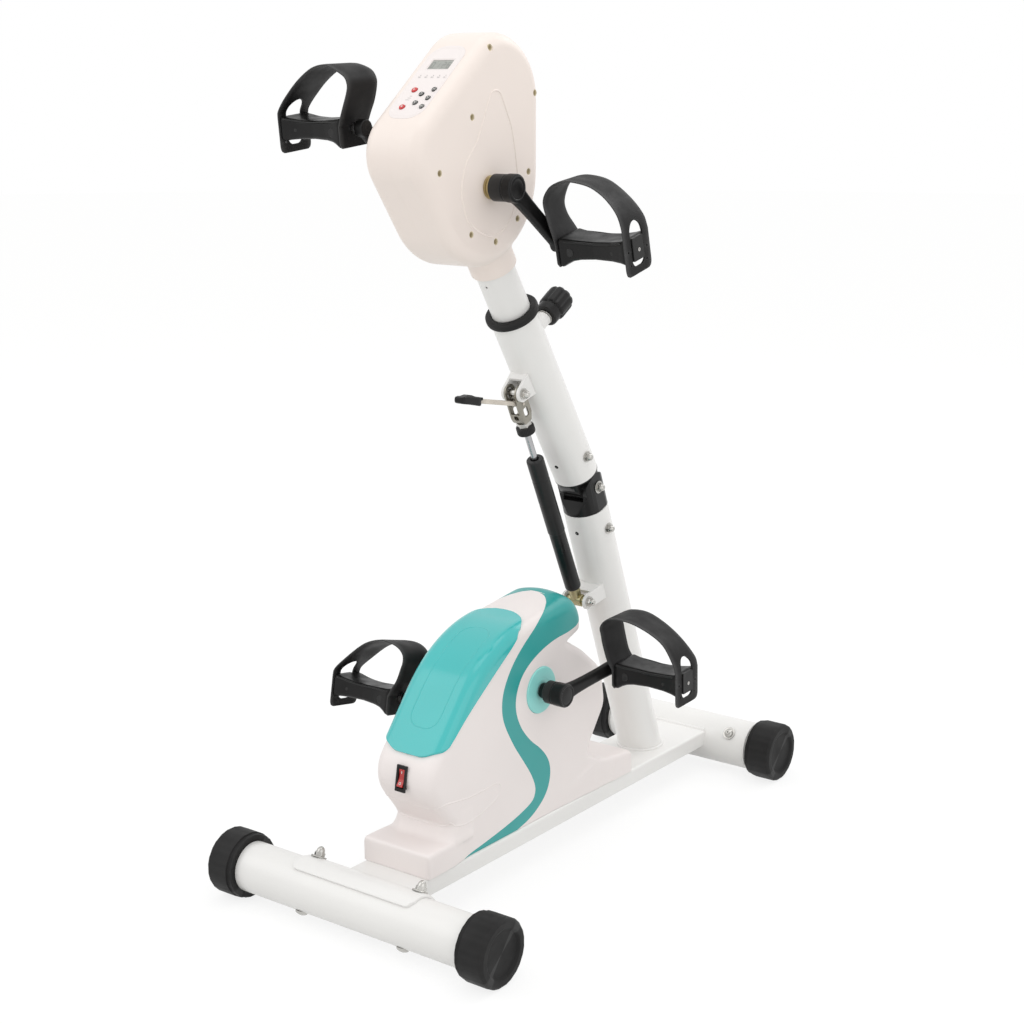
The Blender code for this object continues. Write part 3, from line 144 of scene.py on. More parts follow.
def surface(name, color, rough, metallic=0.0, specular=0.5, coat=0.0, tint=0.03, tint_scale=9.0,
            swing=0.06, swing_scale=45.0, grain=0.15, grain_scale=900.0, depth=0.00012,
            edge=0.0, stretch=(1, 1, 1)):
    """Colour and roughness that wander, a fine surface grain and paler worn edges."""
    mat = bpy.data.materials.new(name)
    mat.use_nodes = True
    tree = mat.node_tree
    shader = tree.nodes["Principled BSDF"].inputs
    shader["Metallic"].default_value = metallic
    shader["Specular IOR Level"].default_value = specular
    shader["Coat Weight"].default_value = coat
    shader["Coat Roughness"].default_value = 0.08
    place = node(tree, "Mapping", node(tree, "TexCoord")["Object"], Scale=stretch)[0]

    def noise(scale, detail):
        return node(tree, "TexNoise", place, Scale=scale, Detail=detail)["Fac"]

    def span(source, a, b, low, high):
        return node(tree, "MapRange", source, From_Min=a, From_Max=b, To_Min=low, To_Max=high)["Result"]

    def mix(factor, first, second):
        made = tree.nodes.new("ShaderNodeMix")
        made.data_type = "RGBA"
        tree.links.new(factor, made.inputs["Factor"])
        for key, value in ((6, first), (7, second)):
            if isinstance(value, tuple):
                made.inputs[key].default_value = (*value, 1.0)
            else:
                tree.links.new(value, made.inputs[key])
        return made.outputs[2]

    low, high = [tuple(min(max(c * share, 0.0), 1.0) for c in color) for share in (1 - tint, 1 + tint)]
    shade = mix(span(noise(tint_scale, 4), 0.3, 0.7, 0, 1), low, high)
    if edge:
        worn = span(node(tree, "NewGeometry")["Pointiness"], 0.52, 0.60, 0, edge)
        shade = mix(worn, shade, tuple(min(c * 0.6 + 0.22, 1.0) for c in color))
    tree.links.new(shade, shader["Base Color"])
    tree.links.new(span(noise(swing_scale, 5), 0.3, 0.7, max(rough - swing, 0.03), rough + swing),
                   shader["Roughness"])
    bump = tree.nodes.new("ShaderNodeBump")
    bump.inputs["Strength"].default_value = grain
    bump.inputs["Distance"].default_value = depth
    tree.links.new(noise(grain_scale, 3), bump.inputs["Height"])
    tree.links.new(bump.outputs["Normal"], shader["Normal"])
    return mat


CASE = {"specular": 0.45, "tint": 0.015, "tint_scale": 6, "swing": 0.05, "grain": 0.18,
        "grain_scale": 1500, "depth": 0.00006}
SATIN = {"grain": 0.15, "depth": 0.00006}
KEY = {"tint_scale": 80, "grain": 0.2, "grain_scale": 1500, "depth": 0.00005}
PLATED = {"metallic": 1.0, "grain_scale": 500, "depth": 0.00008}
SPECKLED = {"tint": 0.15, "tint_scale": 200, "grain": 0.2}
WHITE = surface("white_paint", (0.84, 0.83, 0.81), 0.36, coat=0.15, tint=0.015, tint_scale=5,
                grain=0.30, grain_scale=420, depth=0.0001)
CREAM = surface("cream_plastic", (0.86, 0.80, 0.78), 0.40, **CASE)
WARM = surface("console_plastic", (0.89, 0.795, 0.735), 0.40, **CASE)
LINING = surface("cup_lining", (0.66, 0.58, 0.40), 0.5, **SPECKLED)
SCREW_TAN = surface("case_screw", (0.36, 0.29, 0.16), 0.45, **SPECKLED)
TEAL = surface("teal_gloss", (0.046, 0.485, 0.480), 0.18, coat=0.35, tint=0.04, tint_scale=7,
               swing=0.04, grain=0.10, grain_scale=140)
STRIPE = surface("teal_satin", (0.032, 0.350, 0.335), 0.34, specular=0.45, tint=0.04, tint_scale=7,
                 grain_scale=1300, **SATIN)
PALE = surface("pale_teal", (0.29, 0.72, 0.68), 0.36, grain_scale=1200, **SATIN)
PLASTIC = surface("black_moulding", (0.0075, 0.0072, 0.0072), 0.38, specular=0.23, tint=0.25,
                  tint_scale=30, swing=0.10, swing_scale=60, grain=0.30, grain_scale=700,
                  depth=0.0001, edge=0.16)
STRAP = surface("black_strap", (0.0085, 0.0080, 0.0082), 0.55, specular=0.20, tint=0.20,
                tint_scale=25, swing=0.08, grain=0.45, grain_scale=1100, edge=0.22)
RUBBER = surface("black_rubber", (0.0075, 0.0072, 0.0072), 0.58, specular=0.24, tint=0.25,
                 tint_scale=35, swing=0.08, grain=0.55, grain_scale=800, depth=0.00015, edge=0.14)
STEEL_BLACK = surface("black_paint", (0.0070, 0.0068, 0.0068), 0.33, specular=0.30, tint=0.25,
                      tint_scale=30, grain=0.35, grain_scale=500, depth=0.0001, edge=0.10)
ZINC = surface("zinc_plate", (0.50, 0.49, 0.465), 0.24, tint=0.16, tint_scale=70, swing=0.10,
               swing_scale=160, grain=0.35, edge=0.2, **PLATED)
DULL_ZINC = surface("dull_zinc", (0.31, 0.295, 0.255), 0.38, metallic=1.0, tint=0.18,
                    tint_scale=70, grain=0.2)
YELLOW_ZINC = surface("yellow_zinc", (0.38, 0.34, 0.20), 0.34, tint=0.20, tint_scale=80,
                      swing=0.10, grain=0.3, **PLATED)
PALE_ZINC = surface("pale_zinc", (0.62, 0.57, 0.50), 0.42, metallic=0.55, tint=0.12, tint_scale=70,
                    swing=0.08, grain=0.3, grain_scale=500, depth=0.00008)
BRASS = surface("turned_brass", (0.47, 0.38, 0.20), 0.36, tint=0.22, tint_scale=60,
                swing=0.10, grain=0.35, stretch=(6, 1, 1), **PLATED)
CHROME = surface("ground_rod", (0.44, 0.44, 0.45), 0.20, metallic=1.0, tint=0.06, tint_scale=60,
                 swing=0.05, grain_scale=600, depth=0.00005)
RED = surface("red_plastic", (0.48, 0.010, 0.008), 0.22, coat=0.4, tint=0.12, tint_scale=60,
              grain=0.10, depth=0.00006)
RED_KEY = surface("red_key", (0.62, 0.055, 0.055), 0.42, tint=0.08, **KEY)
GREY_KEY = surface("grey_key", (0.070, 0.074, 0.072), 0.42, tint=0.12, **KEY)
PRINT = surface("light_print", (0.72, 0.70, 0.67), 0.5, tint=0.04, tint_scale=90, grain=0.1)
GREY_PRINT = surface("grey_print", (0.30, 0.29, 0.28), 0.5, tint=0.06, tint_scale=90, grain=0.1)
LCD = surface("display", (0.33, 0.34, 0.31), 0.20, coat=0.5, tint=0.10, tint_scale=220, grain=0.05)
LCD_INK = surface("display_ink", (0.14, 0.15, 0.14), 0.35, tint=0.05, tint_scale=100, grain=0.05)
DARK = surface("dark_void", (0.010, 0.010, 0.010), 0.7, specular=0.2, tint=0.1, grain=0.1)
MACHINED = surface("machined_steel", (0.56, 0.56, 0.55), 0.30, metallic=1.0, tint=0.08,
                   tint_scale=50, swing=0.08, grain=0.3, grain_scale=500, stretch=(8, 1, 1))


# Mesh tools


def arc(x, y, radius, first, step, count, tall=None):
    """Points round a circle or an upright ellipse, the angles in degrees."""
    tall = radius if tall is None else tall
    turns = [math.radians(first + step * k) for k in range(count)]
    return [(x + radius * math.cos(a), y + tall * math.sin(a)) for a in turns]


def linked(mesh):
    ob = bpy.data.objects.new("piece", mesh)
    bpy.context.scene.collection.objects.link(ob)
    return ob


def solid(bm, weld=1e-6):
    bmesh.ops.remove_doubles(bm, verts=bm.verts, dist=weld)
    bmesh.ops.recalc_face_normals(bm, faces=bm.faces)
    mesh = bpy.data.meshes.new("piece")
    bm.to_mesh(mesh)
    bm.free()
    return linked(mesh)


def loft(rings, closed=False):
    bm = bmesh.new()
    rows = [[bm.verts.new(p) for p in ring] for ring in rings]
    pairs = list(zip(rows, rows[1:]))
    if closed:
        pairs.append((rows[-1], rows[0]))
    for a, b in pairs:
        for i in range(len(a)):
            j = (i + 1) % len(a)
            bm.faces.new((a[i], a[j], b[j], b[i]))
    if not closed:
        bm.faces.new(rows[0][::-1])
        bm.faces.new(rows[-1])
    return solid(bm)


def prism(outline, x0, x1):
    return loft([[(x, y, z) for y, z in outline] for x in (x0, x1)])


def plate(outline, z0, z1):
    return loft([[(x, y, z) for x, y in outline] for z in (z0, z1)])


def along_y(outline, y0, y1):
    return loft([[(x, y, z) for x, z in outline] for y in (y0, y1)])


def lathe(profile, steps=48, axis="Z", shape=None):
    bm = bmesh.new()
    rows = []
    for radius, height in profile:
        if radius < 1e-7:
            rows.append([bm.verts.new((0.0, 0.0, height))])
            continue
        row = []
        for i in range(steps):
            a = 2 * math.pi * i / steps
            r = shape(radius, height, a) if shape else radius
            row.append(bm.verts.new((r * math.cos(a), r * math.sin(a), height)))
        rows.append(row)
    pairs = list(zip(rows, rows[1:]))
    if all(len(row) > 1 for row in rows):
        pairs.append((rows[-1], rows[0]))
    for a, b in pairs:
        for i in range(steps):
            j = (i + 1) % steps
            corners = []
            for v in (a[i % len(a)], a[j % len(a)], b[j % len(b)], b[i % len(b)]):
                if v not in corners:
                    corners.append(v)
            bm.faces.new(corners)
    for v in bm.verts:
        x, y, z = v.co
        if axis == "X":
            v.co = (z, x, y)
        elif axis == "Y":
            v.co = (y, z, x)
    return solid(bm)


def soft_ends(radius, start, end, soft):
    """Profile of a rod whose end edges are rounded."""
    return [(0, start), *arc(radius - soft, start + soft, soft, -90, 30, 4),
            *arc(radius - soft, end - soft, soft, 0, 30, 4), (0, end)]


def rod(radius, start, end, steps=48, axis="X", soft=0.0):
    sharp = [(0, start), (radius, start), (radius, end), (0, end)]
    return lathe(soft_ends(radius, start, end, soft) if soft else sharp, steps, axis)


def pipe(radius, bore, start, end, steps=64, axis="X", soft=0.0006):
    return lathe([(bore, start), (radius - soft, start), (radius - soft * 0.3, start + soft * 0.3),
                  (radius, start + soft), (radius, end - soft),
                  (radius - soft * 0.3, end - soft * 0.3), (radius - soft, end), (bore, end)],
                 steps, axis)


def box(x0, x1, y0, y1, z0, z1):
    return prism([(y0, z0), (y1, z0), (y1, z1), (y0, z1)], x0, x1)


def moved(ob, x=0.0, y=0.0, z=0.0):
    ob.data.transform(Matrix.Translation((x, y, z)))
    return ob


def spun(ob, degrees, axis="X"):
    ob.data.transform(Matrix.Rotation(math.radians(degrees), 4, axis))
    return ob


def mirrored(ob):
    ob.data.transform(Matrix.Diagonal((-1, 1, 1, 1)))
    ob.data.flip_normals()
    return ob


def sided(ob, side):
    return mirrored(ob) if side < 0 else ob


def twin(ob):
    return linked(ob.data.copy())


def baked(ob):
    bpy.context.view_layer.update()
    graph = bpy.context.evaluated_depsgraph_get()
    return bpy.data.meshes.new_from_object(ob.evaluated_get(graph))


def boolean(target, tool, operation):
    mod = target.modifiers.new("cut", "BOOLEAN")
    mod.operation = operation
    mod.solver = "EXACT"
    mod.object = tool
    mesh = baked(target)
    target.modifiers.remove(mod)
    target.data = mesh
    bpy.data.objects.remove(tool, do_unlink=True)
    bm = bmesh.new()
    bm.from_mesh(mesh)
    bmesh.ops.remove_doubles(bm, verts=bm.verts, dist=2e-6)
    bmesh.ops.dissolve_degenerate(bm, edges=bm.edges, dist=2e-6)
    bm.to_mesh(mesh)
    bm.free()
    return target


def cut(target, *tools):
    for tool in tools:
        boolean(target, tool, "DIFFERENCE")
    return target


def join(target, *tools):
    for tool in tools:
        boolean(target, tool, "UNION")
    return target


def keep(target, tool):
    return boolean(target, tool, "INTERSECT")


def merged(first, *others):
    """One object of several closed shells."""
    bm = bmesh.new()
    for ob in (first, *others):
        bm.from_mesh(ob.data)
        if ob is not first:
            bpy.data.objects.remove(ob, do_unlink=True)
    bm.to_mesh(first.data)
    bm.free()
    return first


def settled(ob):
    """Bakes the modifiers into the mesh."""
    mesh = baked(ob)
    ob.modifiers.clear()
    ob.data = mesh
    return ob


def melted(ob, voxel, rounds):
    """Turns joined shells into one moulded skin with soft inner corners."""
    remesh = ob.modifiers.new("remesh", "REMESH")
    remesh.mode = "VOXEL"
    remesh.voxel_size = voxel
    smooth = ob.modifiers.new("smooth", "SMOOTH")
    smooth.factor = 0.5
    smooth.iterations = rounds
    return settled(ob)


def bevel(ob, width, segments=2, angle=35):
    mod = ob.modifiers.new("bevel", "BEVEL")
    mod.width = width
    mod.segments = segments
    mod.limit_method = "ANGLE"
    mod.angle_limit = math.radians(angle)
    mod.use_clamp_overlap = True
    return ob


def put(name, ob, mat, body, at=None, instead=(), angle=38, flat=True):
    """Names a piece, sets it in place and hangs it on its body."""
    ob.name = ob.data.name = name
    if at is not None:
        ob.data.transform(at)
    ob.data.materials.clear()
    ob.data.materials.append(mat)
    for polygon in ob.data.polygons:
        polygon.material_index = 0
    ob.data.shade_smooth()
    ob.data.set_sharp_from_angle(angle=math.radians(angle))
    if flat:
        mod = ob.modifiers.new("normals", "WEIGHTED_NORMAL")
        mod.keep_sharp = True
    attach(ob, body)
    if instead:
        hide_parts(*instead)
    return ob


def rounded(corners, inset=0.0, turn_step=4.0):
    """The outline of corners given as y, z and radius, moved inward by inset."""
    points = []
    count = len(corners)
    for i, (y, z, fillet) in enumerate(corners):
        here = Vector((y, z))
        into = (here - Vector(corners[i - 1][:2])).normalized()
        out = (Vector(corners[(i + 1) % count][:2]) - here).normalized()
        bend = math.atan2(into.x * out.y - into.y * out.x, into.dot(out))
        side = 1.0 if bend > 0 else -1.0
        radius = max(fillet - side * inset, 0.0002)
        left_in = Vector((-into.y, into.x))
        left_out = Vector((-out.y, out.x))
        middle = (left_in + left_out) / (1.0 + left_in.dot(left_out))
        corner = here + middle * inset
        start = corner - into * radius * math.tan(abs(bend) / 2)
        centre = start + left_in * radius * side
        steps = max(1, round(abs(math.degrees(bend)) / turn_step))
        for k in range(steps + 1):
            a = bend * k / steps
            spoke = start - centre
            points.append((centre.x + spoke.x * math.cos(a) - spoke.y * math.sin(a),
                           centre.y + spoke.x * math.sin(a) + spoke.y * math.cos(a)))
    return points


def rounded_box(y0, y1, z0, z1, fillet, turn_step=15.0, high_fillet=None):
    high_fillet = fillet if high_fillet is None else high_fillet
    return rounded([(y0, z0, fillet), (y1, z0, fillet), (y1, z1, high_fillet), (y0, z1, high_fillet)],
                   turn_step=turn_step)


def edge_rows(half, edge, steps):
    """How far out and how far in a rounded rim runs, from the flat wall to the flat side."""
    return arc(half - edge, edge, edge, -90, 90 / steps, steps + 1)


def housing(corners, start, half, edge, inset=0.0, shift=tuple, inner_rows=(), steps=9,
            turn_step=4.0):
    """One half of a housing, from its seam at start to the rounded rim of its flat side."""
    rows = [(start, 0.0)] + [(x, 0.0) for x in inner_rows] + edge_rows(half, edge, steps)
    return loft([[shift((x, y, z)) for y, z in rounded(corners, inset + extra, turn_step)]
                 for x, extra in rows])


def smooth_path(points, steps, closed=False):
    pts = [Vector(p) for p in points]
    if closed:
        pts = [pts[-1]] + pts + [pts[0], pts[1]]
    else:
        pts = [2 * pts[0] - pts[1]] + pts + [2 * pts[-1] - pts[-2]]
    path = []
    for i in range(1, len(pts) - 2):
        a, b, c, d = pts[i - 1:i + 3]
        for k in range(steps):
            t = k / steps
            path.append(0.5 * (2 * b + (c - a) * t + (2 * a - 5 * b + 4 * c - d) * t * t
                               + (3 * b - a - 3 * c + d) * t ** 3))
    if not closed:
        path.append(pts[-2])
    return path


def smooth_points(points, steps=6):
    return [tuple(p) for p in smooth_path(points, steps)]


def evenly(path, count):
    """Points at equal distances along a line."""
    reach = [0.0]
    for a, b in zip(path, path[1:]):
        reach.append(reach[-1] + (b - a).length)
    found, k = [], 0
    for i in range(count):
        want = reach[-1] * i / (count - 1)
        while k < len(path) - 2 and reach[k + 1] < want:
            k += 1
        share = (want - reach[k]) / max(reach[k + 1] - reach[k], 1e-9)
        found.append(path[k].lerp(path[k + 1], min(max(share, 0.0), 1.0)))
    return found


def grown(points, by):
    """A closed anticlockwise outline moved outward."""
    made = []
    count = len(points)
    for i in range(count):
        ahead = Vector(points[(i + 1) % count]) - Vector(points[i - 1])
        normal = Vector((ahead.y, -ahead.x)).normalized()
        made.append((points[i][0] + normal.x * by, points[i][1] + normal.y * by))
    return made


def line_ahead(path, i, closed):
    if closed:
        return path[(i + 1) % len(path)] - path[i - 1]
    return path[min(i + 1, len(path) - 1)] - path[max(i - 1, 0)]


def bead(path, normal, width, height, closed=True, sunk=0.0004):
    """A low rounded ridge along a line on a surface."""
    rings = []
    for i, p in enumerate(path):
        up = normal(p) if callable(normal) else Vector(normal)
        side = line_ahead(path, i, closed).cross(up).normalized()
        share = 1.0
        if not closed:
            share = max(min(min(i, len(path) - 1 - i) / 4, 1.0), 0.05)
        ring = []
        for across, rise in ((-0.5, -sunk / height), (-0.5, 0.0), (-0.3, 0.7), (0.0, 1.0),
                             (0.3, 0.7), (0.5, 0.0), (0.5, -sunk / height)):
            ring.append(p + side * width * across + up * height * rise * (share if rise > 0 else 1))
        rings.append(ring)
    return loft(rings, closed=closed)


def rope(path, radius, steps=10, closed=True, wobble=0.0):
    """A round bead along a line, as a weld leaves it."""
    rings = []
    upright = Vector((0, 0, 1))
    for i, p in enumerate(path):
        ahead = line_ahead(path, i, closed).normalized()
        side = (ahead.orthogonal() if abs(ahead.z) > 0.9 else ahead.cross(upright)).normalized()
        up = side.cross(ahead)
        r = radius * (1 + wobble * math.sin(i * 1.9) + wobble * 0.6 * math.sin(i * 0.73 + 1))
        rings.append([p + side * x + up * y for x, y in arc(0, 0, r, 0, 360 / steps, steps)])
    return loft(rings, closed=closed)


def flat_mark(outline, z0=0.0, thick=0.0003):
    return plate(outline, z0 - 0.0002, z0 + thick)


# Fasteners, standing on z = 0 and pointing along +Z


def washer(radius, thick, bore=0.003):
    return lathe([(bore, 0), (radius - 0.0002, 0), (radius, 0.0002), (radius, thick - 0.0002),
                  (radius - 0.0003, thick), (bore, thick)], 40)


def hexagon(radius, start, end):
    chamfer = (end - start) * 0.16
    sixth = math.pi / 3

    def six(r, h, a):
        return min(r, radius * math.cos(sixth / 2) / math.cos((a + sixth / 2) % sixth - sixth / 2))

    return lathe([(0, start), (radius * 0.94, start), (radius, start + chamfer),
                  (radius, end - chamfer), (radius * 0.90, end), (0, end)], 48, shape=six)


def dome_nut(radius=0.0062, washer_r=0.0078):
    dome, rise = radius * 0.80, 0.0048
    points = [(0, 0.0035), (dome, 0.0035), (dome, rise), *arc(0, rise, dome, 15, 15, 5, dome * 0.95),
              (0, rise + dome * 0.95)]
    return merged(washer(washer_r, 0.0012), hexagon(radius, 0.0012, 0.0046), lathe(points, 40))


def round_head(radius=0.0068, height=0.0042, base=0.0, socket=True):
    rim, top, bore, deep = 0.0006, base + height, 0.0022, 0.0018
    points = [(0, base), (radius, base), (radius, base + rim),
              *arc(0, base + rim, radius, 16, 16, 5, height - rim)]
    if socket:
        points += [(bore + 0.0002, top), (bore, top - deep), (0, top - deep)]
    else:
        points += [(0, top)]
    return lathe(points, 40)


def cross_screw(radius, base=0.0, height=0.0012):
    head = lathe([(0, base - 0.001), (radius, base - 0.001), (radius, base + height * 0.4),
                  (radius * 0.8, base + height * 0.85), (radius * 0.4, base + height),
                  (0, base + height)], 32)
    long, slot = radius * 0.55, radius * 0.13
    for turn in (20, 110):
        cut(head, spun(box(-long, long, -slot, slot, base + height * 0.2, base + 0.01), turn, "Z"))
    return head


def bolt(radius, x0, x1, nut, nut_x, head, head_x):
    """A pin along X with a nut at its +X end and a head at its -X end."""
    return merged(rod(radius, x0, x1), moved(spun(nut, 90, "Y"), x=nut_x),
                  moved(spun(head, -90, "Y"), x=head_x))


def toward(direction):
    """Rotation that lays +Z along a direction."""
    return Vector(direction).to_track_quat("Z", "Y").to_matrix().to_4x4()


def fixed(name, ob, mat, body, spot, direction, at=Matrix.Identity(4)):
    """Puts a fastener at a spot with its +Z along a direction."""
    return put(name, ob, mat, body, at @ Matrix.Translation(spot) @ toward(direction))


# Stage


CAMERA_AT = (1.26635, -1.74977, 0.93924)
CAMERA_ROUND, CAMERA_DOWN = 36.92, 13.41
FOCAL_PIXELS, PICTURE_PIXELS = 1813.5, 1024
LAMPS = (("key", (-1.7, -2.3, 2.5), 3.0, 20.0), ("fill", (2.6, -1.2, 1.3), 3.0, 12.0),
         ("rim", (0.6, 2.4, 2.4), 1.8, 13.0), ("top", (0.3, 0.0, 3.0), 2.0, 10.0))


def seen_by(tree, first, *others):
    """1 for these kinds of ray, 0 for the rest."""
    rays = node(tree, "LightPath")
    seen = rays[f"Is {first} Ray"]
    for kind in others:
        seen = node(tree, "Math", seen, rays[f"Is {kind} Ray"], operation="MAXIMUM")[0]
    return seen


def make_stage():
    scene = bpy.context.scene
    scene.view_settings.view_transform = "Standard"
    az, el = math.radians(CAMERA_ROUND), math.radians(CAMERA_DOWN)
    right = Vector((math.cos(az), math.sin(az), 0.0))
    back = Vector((math.sin(az) * math.cos(el), -math.cos(az) * math.cos(el), math.sin(el)))
    data = bpy.data.cameras.new("camera")
    data.sensor_width = 36.0
    data.lens = data.sensor_width * FOCAL_PIXELS / PICTURE_PIXELS
    data.clip_start, data.clip_end = 0.05, 60.0
    camera = bpy.data.objects.new("camera", data)
    scene.collection.objects.link(camera)
    turn = Matrix((right, back.cross(right), back)).transposed().to_4x4()
    camera.matrix_world = Matrix.Translation(CAMERA_AT) @ turn
    scene.camera = camera

    world = bpy.data.worlds.new("studio")
    world.use_nodes = True
    scene.world = world
    tree = world.node_tree
    tree.nodes.clear()
    seen = seen_by(tree, "Camera", "Glossy", "Transmission")
    strength = node(tree, "MapRange", seen, To_Min=0.83, To_Max=1.0)["Result"]
    shade = node(tree, "Background", None, strength, Color=(1.0, 1.0, 1.0, 1.0))
    node(tree, "OutputWorld", shade[0])

    for name, spot, size, watts in LAMPS:
        light = bpy.data.lights.new(name, "AREA")
        light.shape = "DISK"
        light.size = size
        light.energy = watts
        ob = bpy.data.objects.new(name, light)
        scene.collection.objects.link(ob)
        aim = (Vector((0.0, 0.0, 0.5)) - Vector(spot)).to_track_quat("-Z", "Y")
        ob.matrix_world = Matrix.Translation(spot) @ aim.to_matrix().to_4x4()

    mat = bpy.data.materials.new("floor")
    mat.use_nodes = True
    tree = mat.node_tree
    tree.nodes.clear()
    share = tree.nodes.new("ShaderNodeMath")
    share.operation = "MULTIPLY"
    share.inputs[1].default_value = 0.72
    tree.links.new(seen_by(tree, "Camera", "Glossy"), share.inputs[0])
    matte = node(tree, "BsdfDiffuse", Color=(0.74, 0.74, 0.73, 1.0))
    glow = node(tree, "Emission", Strength=1.14)
    node(tree, "OutputMaterial", node(tree, "MixShader", share.outputs[0], matte[0], glow[0])[0])
    bm = bmesh.new()
    bm.faces.new([bm.verts.new((x, y, -0.0004)) for x, y in arc(0, 0, 14, 0, 5, 72)])
    floor = solid(bm)
    floor.name = "floor"
    floor.data.materials.append(mat)


# Base


def make_welds(bore):
    """Beads where the channel meets the sleeve and the saddle, and round the post's foot."""
    reach = math.sqrt((bore + 0.0022) ** 2 - (CHANNEL_TOP - AXIS_Z) ** 2)
    beads = []
    for y, z, radius in ((REAR_Y - reach - 0.0004, CHANNEL_TOP + 0.0002, 0.0022),
                         (FRONT_Y + 0.0312, CHANNEL_TOP - 0.0008, 0.0016)):
        line = [Vector((-0.0455 + 0.091 * k / 90, y, z)) for k in range(91)]
        beads.append(rope(line, radius, closed=False, wobble=0.05))
    slant = math.radians(POST_LEAN)
    foot = PIVOT[0] + (PIVOT[1] - CHANNEL_TOP) * math.tan(slant)
    around = POST_R + 0.0006
    ring = [Vector((x, y, CHANNEL_TOP + 0.0008))
            for x, y in arc(0, foot, around, 0, 2.4, 150, around / math.cos(slant))]
    put("base_welds", merged(*beads, rope(ring, 0.0021, wobble=0.07)), WHITE, "base", flat=False)


def make_saddle(inside):
    """The curved plate over the front tube, its rear corners rounded off."""
    outside, half, corner = TUBE_R + 0.0038, 0.089, 0.009
    rings = []
    for x in [-half + 2 * half * k / 60 for k in range(61)]:
        near = min(half - abs(x), corner)
        trim = math.radians(16) * (1 - math.sqrt(max(1 - (1 - near / corner) ** 2, 0)))
        drop = 0.0010 * max(0.0, 1 - near / 0.0010)
        first, last = math.radians(124) - trim, math.radians(28)
        turns = [first + (last - first) * k / 40 for k in range(41)]
        ring = []
        for k, a in enumerate(turns):
            r = outside - drop - (0.0008 if k in (0, 40) else 0.0)
            ring.append((x, r * math.cos(a), r * math.sin(a)))
        ring += [(x, inside * math.cos(a), inside * math.sin(a)) for a in reversed(turns)]
        rings.append(ring)
    put("base_saddle", moved(loft(rings), y=FRONT_Y, z=AXIS_Z), WHITE, "base")


def make_base():
    top, low = CHANNEL_TOP, CHANNEL_TOP - CHANNEL_DEPTH
    radius, wall, soft = 0.0032, 0.003, 0.0006
    middle, inner = CHANNEL_HALF - radius, CHANNEL_HALF - wall
    section = [p for x, a in ((-middle, 180), (middle, 90)) for p in arc(x, top - radius, radius, a, -15, 7)]
    foot = [(CHANNEL_HALF, low + soft), (CHANNEL_HALF - soft, low), (inner, low), (inner, top - wall)]
    section += foot + [(-x, z) for x, z in reversed(foot)]
    base = along_y(section, FRONT_Y + 0.010, REAR_Y - 0.010)
    bore = TUBE_R + SEAT
    for y in (FRONT_Y, REAR_Y):
        cut(base, moved(rod(bore + 0.0010, -0.2, 0.2, 64), y=y, z=AXIS_Z))
    put("base_channel", bevel(base, 0.0004), WHITE, "base", instead=["base_frame"])
    make_saddle(bore)
    sleeve_half, sleeve_wall, tube_wall, set_in = 0.110, 0.0022, 0.002, 0.0058
    sleeve = pipe(bore + sleeve_wall, bore, -sleeve_half, sleeve_half, 72, soft=0.0009)
    put("rear_sleeve", moved(sleeve, y=REAR_Y, z=AXIS_Z), WHITE, "base")
    make_welds(bore)

    for word, y, half in (("front", FRONT_Y, FRONT_HALF), ("rear", REAR_Y, REAR_HALF)):
        tube = pipe(TUBE_R, TUBE_R - tube_wall, set_in - half, half - set_in, 72)
        put(word + "_tube", moved(tube, y=y, z=AXIS_Z), WHITE, "base", instead=[word + "_foot_tube"])
        for side, tag in SIDES:
            make_cap(word, side, tag, y, half)

    # The front bolts go through saddle and tube, the rear ones into the sleeve from its upper front
    front_x, front_turn, rear_x, rear_turn = 0.0757, 61.3, 0.0835, 141.0
    lean, out = (Vector((0, *turned((1.0, 0.0), turn))) for turn in (front_turn, rear_turn))
    for side, tag in SIDES:
        centre = Vector((side * front_x, FRONT_Y, AXIS_Z))
        nut = dome_nut(0.0064, 0.0092)
        nut.data.transform(Matrix.Diagonal((1.0, 1.0, 1.35, 1.0)))
        fixed("front_nut_" + tag, nut, ZINC, "base", centre + lean * 0.0337, lean)
        head = round_head(0.0074, 0.0040)
        fixed("front_head_" + tag, head, ZINC, "base", centre - lean * 0.0299, -lean)
        centre = Vector((side * rear_x, REAR_Y, AXIS_Z))
        head = merged(washer(0.0088, 0.0014), round_head(0.0062, 0.0046, 0.0012))
        fixed("rear_bolt_" + tag, head, ZINC, "base", centre + out * 0.0324, out)


